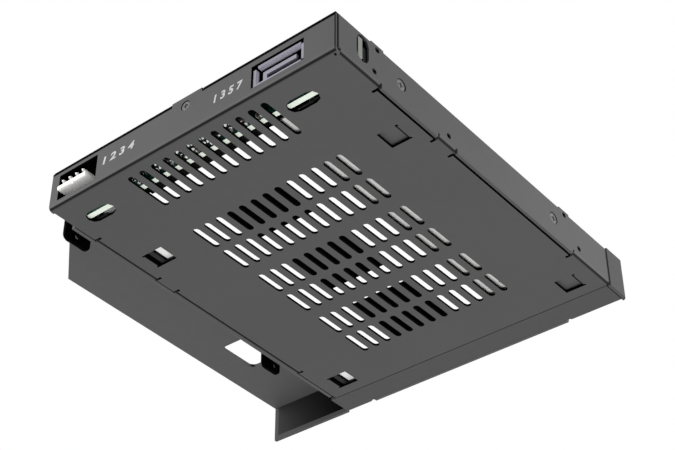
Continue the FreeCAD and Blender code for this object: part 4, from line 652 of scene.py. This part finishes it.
def grid_faces(rows, columns, wrap_columns=True):
    """Quads between neighbouring rows and columns of a grid, as point numbers."""
    i = np.arange(rows - 1)[:, None]
    j = np.arange(columns if wrap_columns else columns - 1)[None, :]
    k = (j + 1) % columns
    corners = (i * columns + j, i * columns + k, (i + 1) * columns + k, (i + 1) * columns + j)
    return np.stack([np.broadcast_to(c, (rows - 1, j.shape[1])) for c in corners], -1).reshape(-1, 4)


def stacked(surfaces):
    """Several (points, faces) pairs as one pair."""
    points = []
    faces = []
    total = 0
    for some_points, some_faces in surfaces:
        points.append(some_points)
        faces.append(some_faces + total)
        total += len(some_points)
    return np.concatenate(points), np.concatenate(faces)


def copies(surface, places):
    """The surface repeated at each place: all places plus all points, in one sum."""
    points, faces = surface
    places = np.asarray(places, float)
    all_points = (places[:, None, :] + points[None, :, :]).reshape(-1, 3)
    steps = np.arange(len(places)) * len(points)
    return all_points, (steps[:, None, None] + faces[None, :, :]).reshape(-1, 4)


SHARP_FROM = math.radians(35)


def add_piece(name, surface, finish, body="cage", replaced=(), bevel=0.0):
    """Makes the mesh object, closes its poles, gives it its finish and its body."""
    points, faces = surface
    mesh = bpy.data.meshes.new(name)
    mesh.from_pydata(points.tolist(), [], faces.tolist())
    mesh.validate()
    made = bpy.data.objects.new(name, mesh)
    bpy.context.scene.collection.objects.link(made)
    mesh.materials.append(finish)
    shape = bmesh.new()
    shape.from_mesh(mesh)
    bmesh.ops.remove_doubles(shape, verts=shape.verts, dist=1e-7)
    bmesh.ops.recalc_face_normals(shape, faces=shape.faces)
    shape.to_mesh(mesh)
    shape.free()
    if bevel:
        edge = made.modifiers.new("edge", "BEVEL")
        edge.width = bevel
        edge.segments = 2
        edge.limit_method = "ANGLE"
    mesh.shade_smooth()
    mesh.set_sharp_from_angle(angle=SHARP_FROM)
    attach(made, body)
    if replaced:
        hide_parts(*replaced)
    print(name, "faces:", len(mesh.polygons))


def boxes(centres, sizes):
    """Boxes round centres; sizes is one size for all or one for each."""
    centres = np.asarray(centres, float)
    sizes = np.broadcast_to(np.asarray(sizes, float), centres.shape)
    signs = np.array([(x, y, z) for x in (-0.5, 0.5) for y in (-0.5, 0.5) for z in (-0.5, 0.5)])
    points = (centres[:, None, :] + signs[None, :, :] * sizes[:, None, :]).reshape(-1, 3)
    quads = np.array([(0, 1, 3, 2), (4, 6, 7, 5), (0, 4, 5, 1), (2, 3, 7, 6), (0, 2, 6, 4), (1, 5, 7, 3)])
    steps = np.arange(len(centres)) * 8
    return points, (steps[:, None, None] + quads[None, :, :]).reshape(-1, 4)


# %% [markdown]
# ## Turned screws
# In the solids a screw is a plain countersunk body. The real one has a turned head with a
# softened rim and a cross recess. The head is a disc in polar form: the radius and the angle
# are the two parameters, and a depth is taken away wherever the point lies in one of the two
# crossing arms. The same grid runs on over the rim and down the cone and the shank.

# %% Screws
SCREW_RINGS = 30
SCREW_SPOKES = 96
SINK = 0.16 * MM
CONE = 0.75 * MM
FLAT_SHARE = 0.93
ARM_HALF_WIDTH = 0.17
ARM_LENGTH = 0.62
ARM_RAMP = 0.05
RECESS_SHARE = 0.75


def screw_surface(point, direction, head, shank, length):
    """Depth at (radius, angle) is a shallow dome plus the recess depth times the larger of two arm
    masks. An arm's mask is 1 near its line and falls to 0 over a short ramp at its side and end."""
    direction = Vector(direction)
    upward = Vector((0, 0, 1))
    across = direction.cross(upward)
    angles = np.linspace(0, 2 * np.pi, SCREW_SPOKES, endpoint=False)
    disc = np.linspace(0, head * FLAT_SHARE, SCREW_RINGS)
    radius, angle = np.meshgrid(disc, angles, indexing="ij")
    x = radius * np.cos(angle)
    y = radius * np.sin(angle)
    half_width = head * ARM_HALF_WIDTH
    arm_length = head * ARM_LENGTH
    ramp = head * ARM_RAMP
    arms = [np.clip((half_width - abs(a)) / ramp, 0, 1) * np.clip((arm_length - abs(b)) / ramp / 2, 0, 1)
            for a, b in ((x, y), (y, x))]
    taper = 1 - 0.5 * radius / arm_length
    dome = SINK + 0.03 * MM * (radius / head) ** 2
    depth = dome + np.maximum(*arms) * taper * CONE * RECESS_SHARE
    rim = np.array([(head * 0.975, SINK + 0.035 * MM), (head, SINK + 0.09 * MM), (shank * 1.02, CONE),
                    (shank, CONE + 0.1 * MM), (shank, length - 0.15 * MM), (shank * 0.8, length),
                    (0.0, length)])
    rim_radius, rim_angle = np.meshgrid(rim[:, 0], angles, indexing="ij")
    x = np.concatenate([x, rim_radius * np.cos(rim_angle)])
    y = np.concatenate([y, rim_radius * np.sin(rim_angle)])
    depth = np.concatenate([depth, np.broadcast_to(rim[:, 1:2], rim_radius.shape)])
    points = (np.array(point)[None, None, :] + x[..., None] * np.array(across)
              + y[..., None] * np.array(upward) + depth[..., None] * np.array(direction))
    return points.reshape(-1, 3), grid_faces(len(points), SCREW_SPOKES)


def screws_like(node_name, axis, inward, head, count):
    """Black turned screws along an axis (0 is X, 1 is Y) in the places of a screw node's solids,
    which stand in a row along the other one. inward is the sign of the way they are driven."""
    low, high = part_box(node_name)
    spread = 1 - axis
    length = high[axis] - low[axis]
    middles = []
    for i in range(count):
        share = 0.0 if count == 1 else i / (count - 1)
        centre = (low + high) / 2
        first = low[spread] + head
        last = high[spread] - head
        if count > 1:
            centre[spread] = first + (last - first) * share
        centre[axis] = low[axis] if inward > 0 else high[axis]
        middles.append(centre)
    direction = [0.0, 0.0, 0.0]
    direction[axis] = float(inward)
    surfaces = [screw_surface(tuple(m), direction, head, head * 0.5, length) for m in middles]
    add_piece(node_name + "_turned", stacked(surfaces), screw_black,
              replaced=(node_name,))


HEAD = 1.60 * MM
SMALL_HEAD = 1.34 * MM
screws_like("wall_screws", 0, 1, HEAD, 2)
screws_like("wing_screws", 0, -1, HEAD, 2)
screws_like("bezel_screws", 1, 1, HEAD, 2)
screws_like("rear_screw", 1, -1, SMALL_HEAD, 1)

# %% The tray's two screws face away from each other
tray_low, tray_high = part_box("tray_screws")
tray_middle = (tray_low + tray_high) / 2
TRAY_SCREW_LENGTH = 2.6 * MM
pair = [screw_surface((x, tray_middle.y, tray_middle.z), (sign, 0, 0), SMALL_HEAD, SMALL_HEAD * 0.6,
                      TRAY_SCREW_LENGTH) for x, sign in ((tray_low.x, 1), (tray_high.x, -1))]
add_piece("tray_screws_turned", stacked(pair), metals["tin_plate"], "tray",
          replaced=("tray_screws",))

# %% [markdown]
# ## Printed pin numbers
# The rear wall carries pale print beside the two sockets. Plain pin numbers stand there: one
# to four for power and the odd ones of seven for data. Text becomes a mesh first and is then
# set on the wall, a few hundredths of a millimetre proud, as silkscreen ink is.

# %% Print
INK_SPREAD = 0.035
INK_SLANT = 0.15
INK_PROUD = 0.03 * MM
WALL_Y = case_high.y + INK_PROUD
POWER_PRINT = (2.0 * MM, 5.4 * MM), (13.4 * MM, 7.9 * MM)
DATA_PRINT = (-34.9 * MM, 4.8 * MM), (-25.3 * MM, 7.4 * MM)
ink, tree, shader, place = new_material("pale_ink", Roughness=0.6)
flecks = grouped(tree, grain_group, {"Vector": place, "Scale": 5000.0, "Contrast": 1.5})
tree.links.new(mixed(tree, flecks["Tone"], grey(0.24), grey(0.38)), shader.inputs["Base Color"])


def printed(name, words, low, high):
    """Flat text stretched to fill the box low to high on the rear wall, given as (x, z). It is
    read from behind, so it starts at the larger x."""
    curve = bpy.data.curves.new(name, "FONT")
    curve.body = words
    curve.offset = INK_SPREAD
    curve.shear = INK_SLANT
    flat = bpy.data.objects.new(name, curve)
    bpy.context.scene.collection.objects.link(flat)
    bpy.context.view_layer.update()
    mesh = bpy.data.meshes.new_from_object(flat.evaluated_get(bpy.context.evaluated_depsgraph_get()))
    bpy.data.objects.remove(flat)
    points = np.array([point.co for point in mesh.vertices])
    first = points.min(0)
    across = (high[0] - low[0]) / (points.max(0) - first)[0]
    tall = (high[1] - low[1]) / (points.max(0) - first)[1]
    mesh.transform(Matrix(((-across, 0, 0, high[0] + across * first[0]), (0, 0, 1, WALL_Y),
                           (0, tall, 0, low[1] - tall * first[1]), (0, 0, 0, 1))))
    mesh.materials.clear()
    mesh.materials.append(ink)
    made = bpy.data.objects.new(name + "_print", mesh)
    bpy.context.scene.collection.objects.link(made)
    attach(made, "cage")
    print(name, "faces:", len(mesh.polygons))


printed("power_numbers", "1 2 3 4", *POWER_PRINT)
printed("data_numbers", "1 3 5 7", *DATA_PRINT)

# %% [markdown]
# ## Solder and parts on the board
# Behind the rear row of slots the board shows bright specks: the solder joints of the
# receptacle, the tinned ends of small capacitors and the bent leads of the chips. A joint is
# a little dome, whose height falls off smoothly from its middle to its rim.

# %% Where the solids of one node stand


def boxes_along_x(name):
    """x0, x1, z0, z1 of each block of a node whose blocks don't overlap along X: the sorted
    x places of all corners are the starts and ends of the blocks in turn."""
    mesh = nodes[name].data
    points = np.empty(len(mesh.vertices) * 3)
    mesh.vertices.foreach_get("co", points)
    points = points.reshape(-1, 3)
    xs = np.unique(np.round(points[:, 0], 6))
    parts = [points[abs(points[:, 0] - x0) < 1e-5][:, 2] for x0 in xs[::2]]
    return [(x0, x1, part.min(), part.max()) for x0, x1, part in zip(xs[::2], xs[1::2], parts)]


# %% Pins of the power header
# Each pin is four-sided and tapers over its last part: the rings are (place along Y, half side).
PIN_TAPER = 0.35 * MM
PIN_LONGER = 1.0 * MM
pins = boxes_along_x("power_pins")
pins_low, pins_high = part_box("power_pins")
pin_half = (pins[0][1] - pins[0][0]) / 2
pin_end = pins_high.y + PIN_LONGER
pin_rings = np.array([(pins_low.y, 0.0), (pins_low.y, pin_half), (pin_end - PIN_TAPER, pin_half),
                      (pin_end, pin_half * 0.55), (pin_end, 0.0)])
turns = np.pi / 4 + np.pi / 2 * np.arange(4)
sides = pin_rings[:, 1:2] * np.sqrt(2)
pin_points = np.stack([sides * np.cos(turns), np.broadcast_to(pin_rings[:, :1], (5, 4)),
                       sides * np.sin(turns)], -1)
pin_places = [((x0 + x1) / 2, 0.0, (z0 + z1) / 2) for x0, x1, z0, z1 in pins]
add_piece("power_pins_tapered", copies((pin_points.reshape(-1, 3), grid_faces(5, 4)), pin_places),
          metals["tin_plate"], replaced=("power_pins",))

# %% Solder joints
BOARD_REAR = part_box("backplane_board")[1].y


def dome(radius, height, rings=7, spokes=16):
    """Height over a disc is height times (1 - r^2)^1.5, facing +Y."""
    r, angle = np.meshgrid(np.linspace(0, 1, rings), np.linspace(0, 2 * np.pi, spokes, endpoint=False),
                           indexing="ij")
    rise = height * (1 - r ** 2) ** 1.5
    points = np.stack([radius * r * np.cos(angle), rise, radius * r * np.sin(angle)], -1)
    return points.reshape(-1, 3), grid_faces(rings, spokes)


JOINT_PITCH = 1.27 * MM
JOINT_COUNT = 25
JOINT_RADIUS = 0.45 * MM
JOINT_HEIGHT = 0.60 * MM
ROW_LOW, ROW_MIDDLE, ROW_HIGH = 3.4 * MM, 5.5 * MM, 9.3 * MM
joint_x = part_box("receptacle_contacts")[0].x + JOINT_PITCH * np.arange(JOINT_COUNT)
joint_rows = [(joint_x, ROW_MIDDLE), (joint_x + JOINT_PITCH / 2, ROW_LOW), (joint_x, ROW_HIGH)]
places = [np.stack([xs, np.full(len(xs), BOARD_REAR), np.full(len(xs), z)], -1) for xs, z in joint_rows]
add_piece("solder_joints", copies(dome(JOINT_RADIUS, JOINT_HEIGHT), np.concatenate(places)),
          metals["bright_solder"])

# %% Capacitor ends and chip leads
capacitor_low, capacitor_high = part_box("board_capacitors")
capacitors = np.array(boxes_along_x("board_capacitors"))
END = 0.55 * MM
PROUD = 0.03 * MM
end_x = np.concatenate([capacitors[:, 0] + END / 2 - PROUD, capacitors[:, 1] - END / 2 + PROUD])
cap_size = capacitor_high - capacitor_low
cap_middle = (capacitor_low + capacitor_high) / 2
end_places = np.stack([end_x, np.full(len(end_x), cap_middle.y), np.full(len(end_x), cap_middle.z)], -1)
add_piece("capacitor_ends", boxes(end_places, (END, cap_size.y + 2 * PROUD, cap_size.z + 2 * PROUD)),
          metals["tin_plate"], bevel=0.06 * MM)


def lead(width, reach, rise):
    """A gull-wing lead along Z: a strip whose height over the board follows a smooth step."""
    t, side = np.meshgrid(np.linspace(0, 1, 12), np.array([-0.5, 0.5]), indexing="ij")
    step = 1 / (1 + np.exp((t - 0.45) * 16))
    points = np.stack([side * width, 0.08 * MM + rise * step, reach * t], -1)
    return points.reshape(-1, 3), grid_faces(12, 2, wrap_columns=False)


LEAD_PITCH = 0.65 * MM
LEAD_WIDTH = 0.3 * MM
LEAD_REACH = 0.7 * MM
LEAD_RISE = 0.55 * MM
lead_places = []
for x0, x1, z0, z1 in boxes_along_x("board_chips"):
    count = int((x1 - x0 - LEAD_PITCH) // LEAD_PITCH) + 1
    first = (x0 + x1 - LEAD_PITCH * (count - 1)) / 2
    lead_places += [(first + LEAD_PITCH * i, BOARD_REAR, z0) for i in range(count)]
points, faces = lead(LEAD_WIDTH, LEAD_REACH, LEAD_RISE)
downward = (points * np.array([1, 1, -1]), faces)
add_piece("chip_leads", copies(downward, lead_places), metals["tin_plate"])

# %% [markdown]
# ## A coil of round wire
# The spring behind the release button is square wire in the solids, to keep them light. Here
# it gets round wire: a circle carried along a helix, both angles being the two parameters.
# Its front end, hidden in the button, stays back by the button's travel, so that the pressed
# button doesn't run into it.

# %% Button spring
coil_low, coil_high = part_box("button_spring")
coil_middle = (coil_low + coil_high) / 2
WIRE = 0.175 * MM
TURNS = 4
COIL_STEPS = 40 * TURNS
WIRE_SIDES = 10
BUTTON_TRAVEL = 1.2 * MM
coil_radius = (coil_high.z - coil_low.z) / 2 - WIRE * 1.4
t, ring = np.meshgrid(np.linspace(0, 1, COIL_STEPS),
                      np.linspace(0, 2 * np.pi, WIRE_SIDES, endpoint=False), indexing="ij")
spin = 2 * np.pi * TURNS * t
reach = coil_radius + WIRE * np.cos(ring)
coil_front = coil_low.y + BUTTON_TRAVEL + 1.5 * WIRE
run = coil_front + (coil_high.y - 1.5 * WIRE - coil_front) * t
coil = np.stack([coil_middle.x + reach * np.cos(spin), run + WIRE * np.sin(ring),
                 coil_middle.z + reach * np.sin(spin)], -1)
add_piece("button_coil", (coil.reshape(-1, 3), grid_faces(COIL_STEPS, WIRE_SIDES)), metals["spring_steel"],
          "tray", replaced=("button_spring",))
print("coil of", TURNS, "turns,", round((coil_high.y - coil_front) / MM, 2), "mm long")

# %% [markdown]
# ## Light and ground
# The photograph is a plain product shot on pure white: the underside is evenly lit, the rear
# and the side a little brighter. The world shows white to the camera and to reflections, and
# gives an even light from all round. Three lamps lift the rear, the side and the top, and a
# weak one below reaches through the slots to the board and the tray. The ground lies just under
# the part. It is seen from above only, and its visibility to other rays is off, so that light
# reaches the underside.

# %% World
WORLD_LEVEL = 1.05
world = bpy.data.worlds.new("studio")
world.use_nodes = True
tree = world.node_tree
tree.nodes.clear()
rays = node(tree, "ShaderNodeLightPath")
seen = maths(tree, "MAXIMUM", rays.outputs["Is Camera Ray"], rays.outputs["Is Transmission Ray"])
seen = maths(tree, "MAXIMUM", seen, rays.outputs["Is Glossy Ray"])
white = node(tree, "ShaderNodeBackground", {"Color": grey(1.0), "Strength": 1.0})
even = node(tree, "ShaderNodeBackground", {"Color": grey(1.0), "Strength": WORLD_LEVEL})
blend = node(tree, "ShaderNodeMixShader", {0: seen, 1: even.outputs[0], 2: white.outputs[0]})
tree.links.new(blend.outputs[0], node(tree, "ShaderNodeOutputWorld").inputs["Surface"])
bpy.context.scene.world = world


# %% Lamps
def lamp(name, place, size, power):
    """A square area lamp that faces the middle of the part."""
    data = bpy.data.lights.new(name, "AREA")
    data.size = size
    data.energy = power
    made = bpy.data.objects.new(name, data)
    bpy.context.scene.collection.objects.link(made)
    made.location = place
    made.rotation_euler = (-Vector(place)).to_track_quat("-Z", "Y").to_euler()


lamp("rear_lamp", (0.30, 0.50, 0.10), 0.3, 3.0)
lamp("side_lamp", (-0.45, -0.35, 0.05), 0.3, 2.3)
lamp("low_lamp", (-0.12, 0.02, -0.42), 0.2, 1.1)
lamp("top_lamp", (0.25, -0.35, 0.70), 0.4, 4.0)

# %% Ground
GROUND_DROP = 0.5 * MM
GROUND_HALF = 6.0
GROUND_NEAR, GROUND_FAR = 0.25, 1.2
ground_mesh = bpy.data.meshes.new("ground")
corners = [(-GROUND_HALF, -GROUND_HALF), (GROUND_HALF, -GROUND_HALF),
           (GROUND_HALF, GROUND_HALF), (-GROUND_HALF, GROUND_HALF)]
ground_mesh.from_pydata([(x, y, -GROUND_DROP) for x, y in corners], [], [(0, 1, 2, 3)])
ground = bpy.data.objects.new("ground", ground_mesh)
bpy.context.scene.collection.objects.link(ground)
ground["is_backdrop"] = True
pale, tree, shader, place = new_material("ground_pale", Base_Color=(0.86, 0.86, 0.86, 1.0), Roughness=0.9)
shader.inputs["Specular IOR Level"].default_value = 0.1
distance = node(tree, "ShaderNodeVectorMath", {0: place}, operation="LENGTH")
far = between(tree, distance.outputs["Value"], GROUND_NEAR, GROUND_FAR)
behind = node(tree, "ShaderNodeNewGeometry").outputs["Backfacing"]
glow = node(tree, "ShaderNodeEmission", {"Color": grey(1.0), "Strength": 1.0})
near_far = node(tree, "ShaderNodeMixShader", {0: far, 1: shader.outputs[0], 2: glow.outputs[0]})
clear = node(tree, "ShaderNodeBsdfTransparent")
shown = node(tree, "ShaderNodeMixShader", {0: behind, 1: near_far.outputs[0], 2: clear.outputs[0]})
output = [n for n in tree.nodes if n.type == "OUTPUT_MATERIAL"][0]
tree.links.new(shown.outputs[0], output.inputs["Surface"])
ground_mesh.materials.append(pale)
ground.visible_diffuse = False
ground.visible_glossy = False
ground.visible_transmission = False
ground.visible_shadow = False
print("ground", GROUND_DROP / MM, "mm under the part")

# %% Measure and finish
shown_low, shown_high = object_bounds()
sizes = {"cad": [list(cad_low), list(cad_high)], "visual": [list(shown_low), list(shown_high)]}
print("grown by, mm:", [round(v / MM, 3) for v in (cad_low - shown_low)],
      [round(v / MM, 3) for v in (shown_high - cad_high)])
